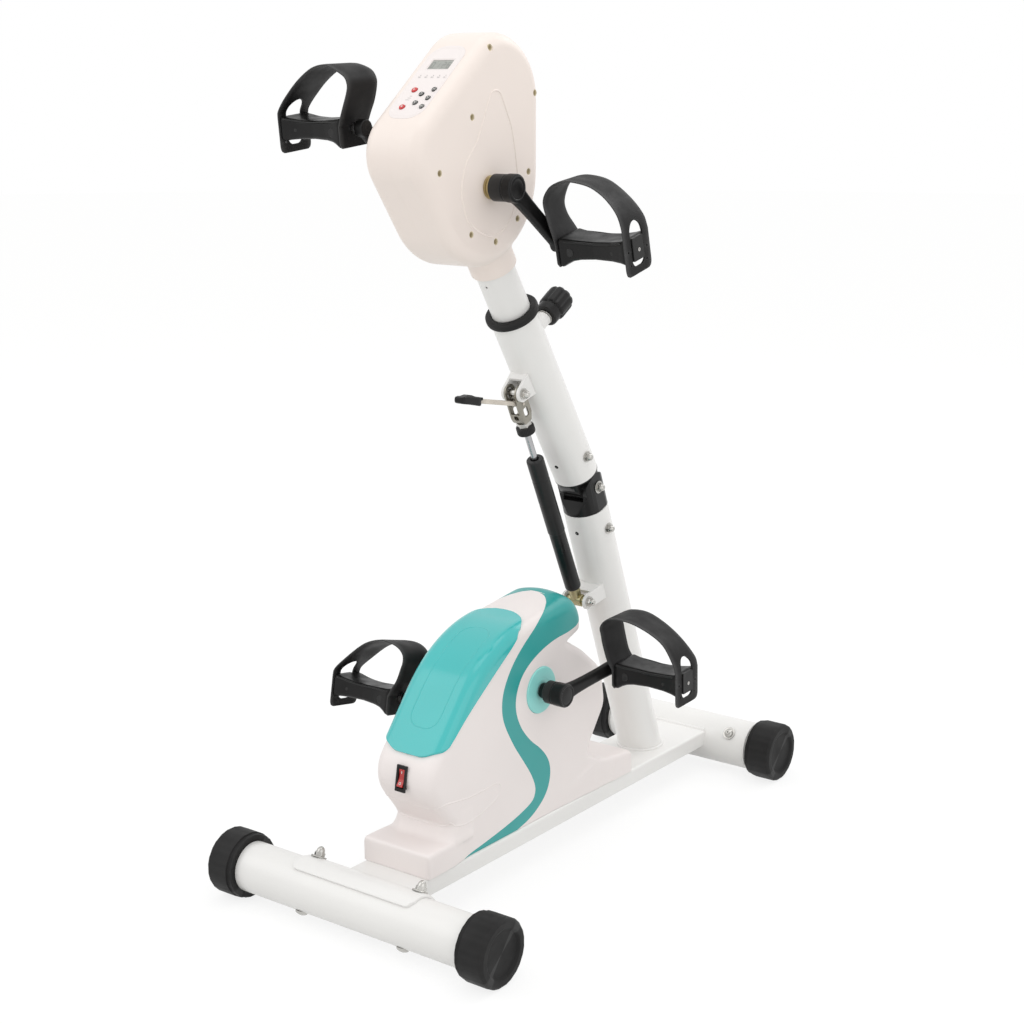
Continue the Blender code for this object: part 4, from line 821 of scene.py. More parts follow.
def make_cap(word, side, tag, y, half):
    """Twelve-sided rubber end cap with a stepped rim and a dished face."""
    sides, per, apothem = 12, 6, 0.039
    half_side = math.pi / sides
    start, rim = half - 0.038, 0.9615

    def ring(x, scale=None, radius=0.0):
        points = []
        for s in range(sides):
            for k in range(per):
                t = (2 * k / (per - 1) - 1) * half_side
                r = radius
                if scale:
                    r = apothem * scale / math.cos(t)
                    r -= 0.0011 * max(0.0, (abs(t) / half_side - 0.80) / 0.20) ** 2
                a = 2 * half_side * s + 0.985 * t
                points.append((x, r * math.cos(a), r * math.sin(a)))
        return points

    rings = [ring(start, radius=TUBE_R + 0.0003)]
    rings += [ring(start + x, scale) for x, scale in
              ((0, rim - 0.020), (0.0004, rim - 0.006), (0.0014, rim), (0.0052, rim), (0.0060, rim + 0.004),
               (0.0066, 0.995), (0.0074, 1.0))]
    rings += [ring(half - x, scale) for x, scale in
              ((0.0045, 1.0), (0.0026, 0.988), (0.0010, 0.955), (0, 0.905))]
    rings += [ring(half - x, radius=r) for x, r in
              ((0, 0.0300), (0.0004, 0.0288), (0.0016, 0.0272), (0.0026, 0.0262), (0.0030, 0.0250),
               (0.0031, 0.0120), (0.0031, 0.0004))]
    put(f"{word}_cap_{tag}", moved(sided(loft(rings), side), y=y, z=AXIS_Z), RUBBER, "base",
        instead=[f"{word}_foot_cap_{tag}"], angle=24)


def ears(pivot, root_y, inside, root_low, root_high):
    """Two cheeks with a web across their top, for a pin along X."""
    py, pz = pivot
    outline = arc(py, pz, LUG_R, 90, 7.5, 25) + [(root_y, pz - root_low), (root_y, pz + root_high)]
    slope = (root_high - LUG_R) / (root_y - py)
    front = py + LUG_R + 0.001
    web = [(y, pz + LUG_R + slope * (y - py) - drop)
           for y, drop in ((root_y, 0.0), (front, 0.0), (front, LUG_WEB), (root_y, LUG_WEB))]
    return [prism(outline, inside, inside + LUG_PLATE), prism(outline, -inside - LUG_PLATE, -inside),
            prism(web, -inside - 0.001, inside + 0.001)]


def make_post():
    floor = CHANNEL_TOP + SEAT
    lean = math.radians(POST_LEAN)
    circle = arc(0, 0, POST_R, 0, 5, 72)
    post = loft([[(x, y, (floor - PIVOT[1] - y * math.sin(lean)) / math.cos(lean)) for x, y in circle],
                 [(x, y, POST_END) for x, y in circle]])
    low_pin = turned((SPRING_LOW[0] - PIVOT[0], SPRING_LOW[1] - PIVOT[1]), -POST_LEAN)
    join(post, *ears(low_pin, -0.020, 0.0145, LUG_R * 1.8, LUG_R * 0.45))
    cut(post, rod(POST_R - 0.0025, -0.5, 0.0, 72, "Z"))
    put("post_tube", bevel(post, 0.0005), WHITE, "base", POST, ["lower_post"])


def make_knuckle():
    """The post's black fork, the mast's tongue between its cheeks, and the bolts of both ends."""
    wide, low, tongue_half = POST_R, POST_END + SEAT, 0.0147
    outline = [(-wide, low), (wide, low), (wide, low + 0.004), *arc(0, 0, 0.0191, -20, 7, 32),
               (-wide, low + 0.004)]
    fork = prism(outline, -0.0270, 0.0270)
    keep(fork, rod(POST_R - SEAT, low - 0.01, 0.05, 72, "Z"))
    slot = tongue_half + SEAT
    cut(fork, box(-slot, slot, -0.05, 0.05, -0.0120, 0.05), rod(0.0200, -slot, slot, 72))
    put("knuckle_fork", bevel(fork, 0.0012, 3), STEEL_BLACK, "base", POST, ["post_knuckle"])

    base = MAST_START - SEAT
    foot = base - 0.0009
    outline = arc(0, 0, 0.0194, 180, 6, 31)
    outline += [(0.0255, 0.0120), (0.0272, foot + 0.0004), (-0.0272, foot + 0.0004), (-0.0255, 0.0120)]
    tongue = prism(outline, -tongue_half, tongue_half)
    keep(tongue, rod(0.0275, -0.05, 0.05, 72, "Z"))
    join(tongue, rod(0.0281, foot - 0.0004, base + 0.0004, 72, "Z", soft=0.0003))
    put("knuckle_tongue", bevel(tongue, 0.0010, 3), STEEL_BLACK, "mast", MAST, ["mast_knuckle"])

    pin = bolt(0.005, -0.028, 0.028, dome_nut(0.0058, 0.0080), 0.0273, round_head(0.0078, 0.0045), -0.0273)
    put("pivot_bolt_set", pin, ZINC, "base", POST, ["pivot_bolt"])
    pin = bolt(0.004, -0.020, 0.022, dome_nut(0.0060, 0.0074), 0.0180, round_head(0.0068, 0.0026), -0.0180)
    put("spring_bolt_lower", pin, ZINC, "base", leaning(*SPRING_LOW, 0), ["spring_pin_lower"])
    # Each tube's bolt and small screw: tube, its radius, bolt's and screw's height, body, place
    tubes = (("post", POST_R, -0.061, -0.056, "base", POST), ("mast", MAST_R, 0.051, 0.0535, "mast", MAST))
    for side, word in SIDES:
        for name, radius, up, _, body, at in tubes:
            end = dome_nut(0.0056, 0.0072) if side > 0 else round_head(0.0068, 0.0040)
            fixed(f"{name}_bolt_{word}", end, ZINC, body, (side * (radius - 0.0003), 0, up), (side, 0, 0), at)
    for name, radius, _, up, body, at in tubes:
        fixed(name + "_screw", cross_screw(0.0026), DARK, body, (0, 0.0006 - radius, up), (0, -1, 0), at)


def make_mast():
    wall, boss_z = MAST_R - 0.002, 0.2265
    mast = pipe(MAST_R, wall, MAST_START, MAST_END, 72, "Z", soft=0.0005)
    inside = HEAD_HALF + 2 * SEAT
    join(mast, *ears((-LUG_OUT, LUG_UP), -wall, inside, LUG_R * 1.6, LUG_R * 1.5))
    join(mast, moved(rod(0.009, wall - 0.0005, 0.048, 40, "Y", soft=0.0008), z=boss_z))
    cut(mast, rod(wall - 0.0001, 0.0, 0.5, 72, "Z"))
    put("mast_tube", bevel(mast, 0.0005), WHITE, "mast", MAST, ["mast_outer_tube"])
    around, ring = 0.0096, []
    for k in range(60):
        a = 2 * math.pi * k / 60
        wide = (around + 0.0004 * math.cos(a)) * math.sin(a) / MAST_R
        ring.append(Vector(((MAST_R + 0.0003) * math.sin(wide),
                            (MAST_R + 0.0002) * math.cos(around * math.sin(a) / MAST_R),
                            boss_z + around * math.cos(a))))
    put("boss_weld", rope(ring, 0.0013, wobble=0.08), WHITE, "mast", MAST, flat=False)

    bore, seat = INNER_R + RUN, MAST_END + SEAT
    high = seat + 0.0097
    profile = [(bore, seat), *mm([(30.8, 0), (31.6, 1), (32.2, 3), (32.3, 5.5), (31.9, 8), (30.8, 9.3),
                                  (29.6, 9.7)], seat), (bore + 0.0012, high), (bore, high - 0.0012)]
    put("collar_ring", lathe(profile, 72), RUBBER, "mast", MAST, ["mast_collar_ring"])
    tube_low, tube_high, hole, hole_r = 0.112, 0.395, 0.3246, 0.0016
    tube = pipe(INNER_R, INNER_R - 0.002, tube_low, tube_high, 72, "Z")
    cut(tube, moved(rod(hole_r, -0.03, -0.01, 20, "Y"), z=hole))
    put("inner_tube", tube, WHITE, "console", MAST, ["mast_inner_tube"])
    pin = bolt(0.004, -0.0140, 0.0165, dome_nut(0.0056, 0.0070), 0.0127,
               round_head(0.0062, 0.0022, socket=False), -0.0127)
    put("spring_bolt_upper", pin, ZINC, "mast", MAST @ Matrix.Translation((0, -LUG_OUT, LUG_UP)),
        ["spring_pin_upper"])
    make_knob(boss_z)


def make_knob(boss_z):
    start = 0.0503

    def flutes(r, h, a):
        if h < start + 0.0125 or r < 0.012:
            return r
        return r * (1.0 - 0.085 * (0.5 + 0.5 * math.cos(9 * a)) ** 3)

    profile = mm([(0, 0), (11.8, 0), (13.5, 0.4), (14.6, 1.6), (15, 4), (15.1, 9.5), (14.6, 11.5),
                  (14.8, 12.5), (16.6, 14.2), (17.2, 17), (17.2, 34), (16.8, 37), (15.6, 39.1), (13.6, 40),
                  (10, 39.8), (9.6, 39.2), (0, 39.2)], start)
    grip = lathe(profile, 144, "Y", flutes)
    put("knob_grip", moved(grip, z=boss_z), PLASTIC, "knob", MAST, ["clamp_knob"], angle=30)
    disc = lathe(mm([(4.5, 48.4), (9.6, 48.4), (9.8, 48.7), (9.8, 49.9), (9.5, 50.2), (4.5, 50.2)]), 40, "Y")
    zinc = merged(rod(0.004, INNER_R + 0.0006, start + 0.001, 32, "Y"), disc)
    put("knob_screw", moved(zinc, z=boss_z), ZINC, "knob", MAST)


def make_spring():
    body = lathe(mm([(0, 19.5), (7.6, 19.5), (9, 20.2), (9.8, 21.4), (10.2, 23.4), (10.2, 108.5),
                     (10.6, 109.5), (10.9, 110.2), (10.9, 152), (10.7, 152.6), (10.7, 154.6), (10.9, 155.2),
                     (10.9, 188), (10.6, 188.8), (10.6, 190.6), (10.9, 191.4), (10.9, 216.2), (10.6, 217.6),
                     (9.8, 218.5), (5.6, 218.5), (5, 216.5), (0, 216.5)]), 64)
    put("spring_body", body, STEEL_BLACK, "spring_cylinder", SPRING, ["gas_spring_cylinder"])
    fitting = lathe(mm([(0, 4.6), (6.6, 4.6), (7, 5.6), (7.8, 18.5), (8, 19.2), (8, 20.5), (0, 20.5)]), 40)
    half_eye = mm([(4.2, 13.8), (5.2, 13.8), (5.4, 9.2), (7.2, 9), (7.8, 8.4)])
    eye = lathe([(r, -x) for r, x in half_eye] + half_eye[::-1], 40, "X")
    put("spring_fitting", merged(fitting, eye), YELLOW_ZINC, "spring_cylinder", SPRING)

    foot = SPRING_LENGTH - HEAD_LENGTH
    nut = foot - SEAT
    shaft = rod(0.0040, 0.2000, nut - 0.0150, 40, "Z")
    put("spring_shaft", shaft, CHROME, "spring_rod", SPRING, ["gas_spring_rod"])

    def knurl(r, h, a):
        return r - (0.0003 if r > 0.0107 and math.cos(36 * a) > 0.2 else 0.0)

    collar = lathe(mm([(0, -16.5), (9.2, -16.5), (10.8, -15.8), (11.2, -14.6), (11.2, -7.6), (10.8, -6.6),
                       (9.8, -6), (0, -6)], nut), 144, shape=knurl)
    put("spring_collar", collar, PLASTIC, "spring_rod", SPRING, angle=25)
    lock = merged(hexagon(0.0092, nut - 0.0062, nut),
                  rod(0.0040, nut - 0.002, foot + 0.0085, 32, "Z", soft=0.0005))
    put("spring_lock_nut", lock, ZINC, "spring_rod", SPRING)

    # The head: a folded steel plate with slots in its web and both cheeks
    top = SPRING_LENGTH
    outline = [(-0.0060, foot), (0.0060, foot), (HEAD_R, foot + 0.0095), *arc(0, top, HEAD_R, 0, 6, 31),
               (-HEAD_R, foot + 0.0090), (-0.0084, foot + 0.0030)]
    head = prism(outline, -HEAD_HALF, HEAD_HALF)
    inner = HEAD_HALF - HEAD_PLATE
    web = -HEAD_R + HEAD_PLATE
    cut(head, box(-inner, inner, web, 0.02, foot + 0.0032, top + 0.03),
        box(-inner, inner, -0.02, web + 0.001, foot + 0.0150, top + 0.03),
        prism(rounded_box(-0.0036, 0.0046, foot + 0.0080, foot + 0.0200, 0.0020), -0.02, 0.02),
        along_y(rounded_box(-0.0032, 0.0032, foot + 0.0060, foot + 0.0130, 0.0018), -0.02, web + 0.001),
        moved(rod(0.0066, -0.05, 0.05, 40), z=top))
    put("head_plate", bevel(head, 0.0005, 2), DULL_ZINC, "spring_rod", SPRING, ["release_head"])


def make_lever():
    below_pin = 0.0144
    origin = (SPRING @ Matrix.Translation((0, 0, SPRING_LENGTH - below_pin))).to_translation()
    at = leaning(origin.y, origin.z, 0)
    half, bar_half, tall, slope = 0.0056, 0.0042, 0.0029, 0.188

    def bar_z(reach):
        return -0.001 + slope * reach

    def blade(rows, corner):
        """Loft along -Y: reach, half width, depth under and height over the bar's middle."""
        rings = []
        for reach, wide, under, over in rows:
            ring = rounded_box(-wide, wide, bar_z(reach) - under, bar_z(reach) + over, corner)
            rings.append([(x, -reach, z) for x, z in ring])
        return loft(rings)

    bar = blade([(reach, wide, tall * share, tall * share) for reach, wide, share in
                 ((-0.0042, half - 0.0004, 0.80), (-0.0034, half - 0.0004, 1.0), (0.010, half - 0.0004, 1.0),
                  (0.024, bar_half, 0.97), (0.080, bar_half, 0.97), (0.094, bar_half, 0.9))], 0.0010)
    bar = merged(bar, rod(0.0046, -half, half, 32, soft=0.0004),
                 rod(0.002, -0.0092, 0.0092, 24, soft=0.0003))
    put("lever_bar", bar, PALE_ZINC, "lever", at, ["release_lever"])

    paddle = blade(mm([(76.5, 4.55, 3.4, 3), (77.5, 5.72, 5, 4.4), (79, 6.175, 5.8, 4.8), (83, 6.5, 5.6, 4.6),
                       (90, 6.5, 5.2, 4.6), (100, 6.5, 5, 4.4), (108, 6.37, 5, 3.8), (112, 5.85, 4.6, 2.6),
                       (114, 4.55, 3.6, 0.8)]), 0.0014)
    ridge = blade(mm([(83, 4.5, -0.5, 3), (86, 4.5, -0.5, 5), (92, 4.5, -0.5, 6.2), (98, 4.5, -0.5, 6.2),
                      (103, 4.5, -0.5, 4.8), (106, 4.5, -0.5, 3)]), 0.0010)
    lip = box(-0.0062, 0.0062, -0.0775, -0.0745, bar_z(0.076) + 0.0012, bar_z(0.076) + 0.0046)
    put("lever_paddle", melted(merged(paddle, ridge, lip), 0.0005, 4), PLASTIC, "lever", at, flat=False)


# Console


def panel_place():
    """Where the panel's middle lies on the console's face, and the face's slope."""
    chin, brow = Vector(CONSOLE[0][:2]), Vector(CONSOLE[4][:2])
    run = (brow - chin).normalized()
    middle = chin + run * (PANEL_START + PANEL_LENGTH / 2)
    return middle, math.degrees(math.atan2(run.y, run.x))


def panel_outline(grow):
    half, reach = PANEL_HALF + grow, PANEL_LENGTH / 2 + grow
    return rounded_box(-half, half, -reach, reach, PANEL_ROUND + grow, 7.5)


# Places of the screws and of the raised line on the console's side: back from the front foot, and up
SCREWS = mm([(195, 973), (162, 900), (106, 843), (159.5, 775.5), (203, 765), (243, 788), (263.5, 839),
             (276, 925)])
TEARDROP = mm([(205, 928), (211.2, 925.5), (216, 918), (223.2, 905), (230.5, 891), (236.2, 872),
               (240, 853), (243.5, 828), (238, 803), (219.5, 779), (192, 772), (157, 787), (146.5, 807),
               (143, 825), (150, 850), (160, 862.5), (171, 876), (182.5, 899.5), (193, 922),
               (198.5, 927.2)])

KEY_R = {True: 0.0034, False: 0.0030}
KEYS = [("start_button", -0.0085, 0.0920, True), ("stop_button", -0.0085, 0.0647, True),
        ("mode_button", 0.0178, 0.0932, False), ("time_button", 0.0050, 0.0856, False),
        ("speed_up_button", 0.0178, 0.0795, False), ("speed_down_button", 0.0050, 0.0717, False),
        ("direction_button", 0.0178, 0.0659, False)]


def console_spot(y, z):
    """Point of the console's frame for a place on its side, y measured back from the front foot's axis."""
    local = HEAD_UP.inverted() @ Vector((0.0, y + FRONT_Y, z))
    return local.y, local.z


def make_console():
    middle, slope = panel_place()
    wall_in = CONSOLE_HALF - 0.003
    floor = CONSOLE[1][1]
    screws = []
    for spot in SCREWS:
        y, z = console_spot(*spot)
        screws.append((CONSOLE_HALF - edge_drop(y, z), y, z))
    for side, word in SIDES:
        shell = housing(CONSOLE, SEAM, CONSOLE_HALF, CONSOLE_EDGE)
        neck = lathe(mm([(0, -111), (26.6, -111), (27.2, -110.6), (27.5, -110)])
                     + mm([(27.5, -13.5), (27.7, -9), (28.5, -5), (30.2, -1.5), (33, 0.8), (34.5, 4),
                           (0, 4)], floor), 72)
        join(shell, keep(neck, box(SEAM, 0.1, -0.1, 0.1, -0.2, 0.0)))
        hollow = housing(CONSOLE, -0.01, wall_in, CONSOLE_EDGE - 0.003, inset=0.003, turn_step=15, steps=4)
        cut(shell, hollow, rod(INNER_R + SEAT, -0.2, floor + 0.01, 72, "Z"))
        cut(shell, rod(0.0108, wall_in - 0.01, CONSOLE_HALF + 0.01))
        opening = spun(plate(panel_outline(0.0001), -0.006, 0.006), slope)
        cut(shell, moved(opening, y=middle.x, z=middle.y))
        if side > 0:
            for x, y, z in screws:
                cup = lathe(mm([(0, -2.9), (3.5, -2.9), (3.7, -0.4), (4.2, 0.3), (4.2, 4), (0, 4)]), 28, "X")
                cut(shell, moved(cup, x, y, z))
        sided(shell, side)
        put(f"console_shell_{word}", shell, WARM, "console", HEAD_UP, [f"console_{word}"], angle=30)
        bush = lathe([(SPINDLE_R + RUN, wall_in - 0.007), (0.0105, wall_in - 0.007),
                      *mm([(10.5, 0.3), (12.6, 0.3), (13, 0.8), (13, 3), (11.8, 3.6), (11.8, 4.2),
                           (12.6, 4.8), (12.6, 6.6), (12.2, 7.2)], CONSOLE_HALF),
                      (SPINDLE_R + RUN, CONSOLE_HALF + 0.0072)], 48, "X")
        put(f"bush_{word}", sided(bush, side), BRASS, "console", HEAD_UP, [f"upper_bush_{word}"])

    heads, linings = [], []
    for x, y, z in screws:
        heads.append(moved(spun(cross_screw(0.0024, -0.0020, 0.0006), 90, "Y"), x, y, z))
        cup = mm([(2.6, -2.8), (3.5, -2.8), (3.7, -0.4), (3.1, -0.6), (2.8, -2.4), (2.6, -2.4)])
        linings.append(moved(lathe(cup, 28, "X"), x, y, z))
    put("console_screws", merged(*heads), SCREW_TAN, "console", HEAD_UP)
    put("console_cups", merged(*linings), LINING, "console", HEAD_UP)
    line = [Vector((CONSOLE_HALF, *console_spot(y, z))) for y, z in TEARDROP]
    line = evenly(smooth_path(line, 8, closed=True) + [line[0]], 180)[:-1]
    for side, tail in ((1, ""), (-1, "_left")):
        ridge = bead([Vector((side * p.x, p.y, p.z)) for p in line], (side, 0, 0), 0.0021, 0.0008)
        put("console_line" + tail, ridge, WARM, "console", HEAD_UP, flat=False)
    make_panel(middle, slope)


def edge_drop(y, z):
    """How far the console's rounded rim lies below its flat side at a point."""
    ring = [Vector(p) for p in rounded(CONSOLE)]
    here = Vector((y, z))
    near = 1.0
    for a, b in zip(ring, ring[1:] + ring[:1]):
        run = b - a
        if run.length > 1e-9:
            share = min(max((here - a).dot(run) / run.length_squared, 0.0), 1.0)
            near = min(near, (here - a - run * share).length)
    depth = max(CONSOLE_EDGE - near, 0.0)
    return CONSOLE_EDGE - math.sqrt(max(CONSOLE_EDGE ** 2 - depth ** 2, 0.0))


# Plain signs for the keys, around each key's middle, in millimetres
SIGNS = {
    "start_button": [[(-0.9, -1.2), (1.4, 0), (-0.9, 1.2)]],
    "stop_button": [[(-1, -1), (1, -1), (1, 1), (-1, 1)]],
    "speed_up_button": [[(-1.3, -0.6), (1.3, -0.6), (0, 1.3)]],
    "speed_down_button": [[(-1.3, 0.6), (0, -1.3), (1.3, 0.6)]],
    "direction_button": [[(-1.4, 0), (-0.4, -0.9), (-0.4, 0.9)], [(1.4, 0), (0.4, 0.9), (0.4, -0.9)]],
    "time_button": [[(-0.3, -0.3), (1.2, -0.3), (1.2, 0.2), (0.3, 0.2), (0.3, 1.4), (-0.3, 1.4)]],
    "mode_button": [arc(x, 0, 0.4, 0, 20, 18) for x in (-1, 0, 1)],
}
# Which of a digit's seven bars are lit, and where the digit stands
DIGITS = [(-0.0100, "1110111"), (-0.0030, "0010010"), (0.0052, "1011101"), (0.0116, "1101111")]


def make_display(at, place):
    """The window, its frame and the digits, at a height on the panel."""
    def pane(grow, corner, z0, z1):
        outline = rounded_box(-0.0138 - grow, 0.0158 + grow, -0.0078 - grow, 0.0078 + grow, corner)
        return plate([(x, y + at) for x, y in outline], z0, z1)

    put("display_glass", pane(0, 0.0008, -0.0014, -0.0006), LCD, "console", place)
    frame_ring = pane(0.0011, 0.0009, -0.0013, 0.0001)
    cut(frame_ring, pane(-0.0002, 0.0008, -0.01, 0.01))
    put("display_frame", bevel(frame_ring, 0.0003), CREAM, "console", place)
    wide, tall, thick = 0.0036, 0.0040, 0.0006
    bars = [(0, 2 * tall, wide, thick), (0, tall, thick, tall), (wide - thick, tall, thick, tall),
            (0, tall, wide, thick), (0, 0, thick, tall), (wide - thick, 0, thick, tall), (0, 0, wide, thick)]
    digits = []
    for start, lit in DIGITS:
        for flag, (x, y, run, rise) in zip(lit, bars):
            if flag == "1":
                digits.append(oblong_mark(start - 0.0016 + x, at - 0.0042 + y, run, rise, -0.0006, 0.00005))
    put("display_digits", merged(*digits), LCD_INK, "console", place)


def oblong_mark(x, y, run, rise, z0=0.0002, thick=0.00006):
    """A printed oblong from its lower left corner."""
    return flat_mark([(x, y), (x + run, y), (x + run, y + rise), (x, y + rise)], z0, thick)


def make_panel(middle, slope):
    place = HEAD_UP @ leaning(middle.x, middle.y, slope)
    sheet = plate(panel_outline(0.0), -0.0028, 0.0002)
    start = PANEL_START + PANEL_LENGTH / 2
    display_row, lamp_row, lamp_step, lamp_r = 0.134, 0.1160, 0.0087, 0.0006
    at = display_row - start
    cut(sheet, plate([(x, y + at) for x, y in rounded_box(-0.0150, 0.0170, -0.0090, 0.0090, 0.0010)],
                     -0.0012, 0.01))
    for name, x, reach, is_red in KEYS:
        cut(sheet, moved(rod(KEY_R[is_red] + RUN, -0.01, 0.01, 32, "Z"), x=x, y=reach - start))
    put("panel_sheet", bevel(sheet, 0.0003), CREAM, "console", place, ["control_panel"])
    for k, inset in enumerate((0.0022, 0.0040)):
        line = bead([Vector((x, y, 0.0002)) for x, y in panel_outline(-inset)], (0, 0, 1), 0.0008, 0.00022)
        put(f"panel_line_{k}", line, CREAM, "console", place, flat=False)
    make_display(at, place)
    lamps, faint = [], []
    for k in range(5):
        x = -0.0150 + lamp_step * k
        lamps.append(flat_mark(arc(x, lamp_row - start, lamp_r, 0, 22.5, 16), 0.0002, 0.00012))
        for row, wide in ((0.1132, 0.0042), (0.1119, 0.0030)):
            faint.append(oblong_mark(x - wide / 2, row - start, wide, 0.0005))
    for k in range(3):
        left = -0.0112 + 0.001 * k
        faint.append(oblong_mark(left, 0.0760 + 0.0030 * k - start, -0.0060 - left, 0.0005))
    put("panel_lamps", merged(*lamps), GREY_PRINT, "console", place)
    put("panel_print", merged(*faint), GREY_PRINT, "console", place)
    top, soft = 0.0018, 0.0008
    for name, x, reach, is_red in KEYS:
        radius = KEY_R[is_red]
        body = name + "_key" if name + "_key" in frame["bodies"] else name
        points = [(0, -0.0034), (radius, -0.0034), (radius, top - soft),
                  *arc(radius - soft, top - soft, soft, 22.5, 22.5, 4, 0.0006),
                  (radius * 0.66, top - 0.0002), (radius * 0.60, top - 0.00035), (0, top - 0.0003)]
        spot = place @ Matrix.Translation((x, reach - start, 0))
        put(name + "_cap", lathe(points, 40), RED_KEY if is_red else GREY_KEY, body, spot, [name])
        signs = [flat_mark(mm(outline), top - 0.0003, 0.0002) for outline in SIGNS[name]]
        if not is_red:
            ring = [(radius * 0.74, 0), (radius * 0.80, 0), (radius * 0.80, 0.0003), (radius * 0.74, 0.0003)]
            signs.append(moved(lathe(ring, 36), z=top - 0.0003))
        put(name + "_sign", merged(*signs), PRINT, body, spot)


# Lower cover


def crown(point):
    """Raises the middle of the hump's top and leaves its edges."""
    x, y, z = point
    rise = min(max((y + 0.090) / 0.090, 0.0), 1.0) * min(max((z - 0.240) / 0.050, 0.0), 1.0)
    return (x, y, z + COVER_CROWN * rise * rise * (3 - 2 * rise) * (1 - (x / COVER_HALF) ** 2))


# The teal band's edge on the side, in millimetres
STRIPE_LINE = [(-15.5, 345), (-15.8, 328), (-17.5, 326.9), (-21.4, 325.2), (-30.8, 322.2),
               (-41.8, 319.2), (-53.5, 314.9), (-66.2, 309.4), (-77.5, 303), (-90.5, 294.3),
               (-101.9, 285.9), (-113.8, 275.9), (-124.9, 264), (-133.6, 251.2), (-139.4, 239),
               (-142.3, 225.1), (-141.2, 210), (-136.2, 196), (-127.4, 180.2), (-115.4, 161.8),
               (-100.6, 142.2), (-86.2, 122.4), (-77.2, 105.5), (-75.9, 93.5), (-83.2, 83.6),
               (-106.8, 75.5), (-136.4, 69.2), (-173.5, 63.3), (-205.7, 58.8), (-233.8, 53), (-230, 46),
               (-150, 46), (-120, 55), (-89.6, 62.5), (-68.5, 72.5), (-53.6, 84.9), (-46.1, 99.4),
               (-44.7, 115.6), (-50.8, 131.1), (-65, 147), (-85, 163.2), (-102, 182), (-112.1, 200.7),
               (-115.4, 217.5), (-112.6, 232.3), (-105, 246.2), (-94.6, 256.2), (-81.9, 264),
               (-64.8, 271.2), (-47.5, 276.3), (-30.1, 279.4), (-10.1, 281.2), (5.6, 284.3),
               (13.3, 287.7), (25, 294), (45, 302), (45, 345)]
# Sections of the skirt round the cover's foot: y, half width, top
FRONT_SKIRT = mm([(-286.5, 48, 83.5), (-285, 49.2, 85), (-282, 49.5, 86), (-262, 49.5, 86.2),
                  (-250, 49, 86.2), (-240, 48.2, 86.2), (-228, 46.8, 86.4), (-214, 45, 87),
                  (-200, 43.6, 88)])
# The rise behind the front step: height, front, half width, corner
RISE = mm([(80, -256, 48, 26), (86.8, -253, 47.5, 25), (88.5, -249, 46.6, 22), (93, -245, 46, 21),
           (100, -241.5, 45.5, 20), (108, -239.2, 45, 19), (116, -237.5, 44.4, 18)])
SIDE_SKIRT = mm([(-45, 43.8, 70), (-10, 44.6, 79), (20, 45.6, 86), (45, 46.6, 93), (60, 47.2, 96.5)])
REAR_SKIRT = mm([(30, 43.8, 108), (46, 45.2, 103), (58, 46.3, 97.5), (70, 46.8, 93), (86, 47.2, 90.5),
                 (110, 47.6, 88.5), (126, 47.6, 86.5), (131.5, 47, 85), (134, 45.5, 82.5)])
# The low crescent on the cover's nose and sides: x, y, z in millimetres
CRESCENT = [(0, -258.5, 128.3), (16, -257.8, 127.4), (30, -258, 130), (39, -255, 134),
            (43.5, -246, 134.6), (44, -232, 132.6), (44, -205, 129.6), (44, -177.1, 129.6),
            (44, -158, 130.6), (44, -148, 128), (44, -144.8, 121), (44, -152, 112), (44, -169.2, 106),
            (44, -189.4, 101), (44.4, -213.7, 99.9), (45.8, -231, 102.5), (46, -240, 104.5),
            (38, -240.6, 103), (28.4, -240.6, 102.3), (14, -240.9, 101.6), (0, -240.9, 101.4)]
# The raised pad at the cover's rear foot: y, z, corner
PAD = [(0.0850, 0.0500, 0.001), (0.1340, 0.0500, 0.001), (0.1330, 0.0845, 0.006), (0.0990, 0.0885, 0.012)]


def skirt(sections, fillet, start):
    """Half of a low skirt along the cover's foot, through its sections."""
    rings = []
    for y, half, top in smooth_path([Vector(row) for row in sections], 5):
        ring = [(start, CHANNEL_TOP + start), (half, CHANNEL_TOP + start),
                *arc(half - fillet, top - fillet, fillet, 0, 11.25, 9), (start, top)]
        rings.append([(x, y, z) for x, z in ring])
    return loft(rings)


def cover_body():
    """Both halves of the cover's solid form as one moulded skin."""
    rings = [[(0.0400, y, z) for y, z in rounded(PAD, turn_step=6)]]
    for x, inset in edge_rows(0.0485, 0.0018, 4):
        rings.append([(x, y, z) for y, z in rounded(PAD, inset, turn_step=6)])
    rise = []
    for z, front, wide, turn in RISE:
        rise.append([(x, y, z) for x, y in rounded_box(-wide, wide, front, -0.2000, turn, 7.5, 0.001)])
    half = merged(housing(HUMP, -0.001, COVER_HALF, COVER_EDGE, shift=crown,
                          inner_rows=(0.006, 0.012, 0.018, 0.024, 0.028)),
                  housing(DRUM, -0.002, COVER_HALF - 0.0001, COVER_EDGE),
                  skirt(FRONT_SKIRT, 0.0045, -0.003), skirt(SIDE_SKIRT, 0.003, -0.004),
                  skirt(REAR_SKIRT, 0.005, -0.005), loft(rings), loft(rise))
    return melted(merged(half, mirrored(twin(half))), 0.0017, 6)


def nose_y():
    """Where the cover's nose meets the switch's plane."""
    ny, nz = turned((-1.0, 0.0), SWITCH_TILT)
    near = [(y, z) for y, z in rounded(HUMP, turn_step=15.0)
            if y < -0.2 and abs(z - SWITCH_Z) < 2 * BEZEL_TALL]
    return (max(y * ny + z * nz for y, z in near) - nz * SWITCH_Z) / ny


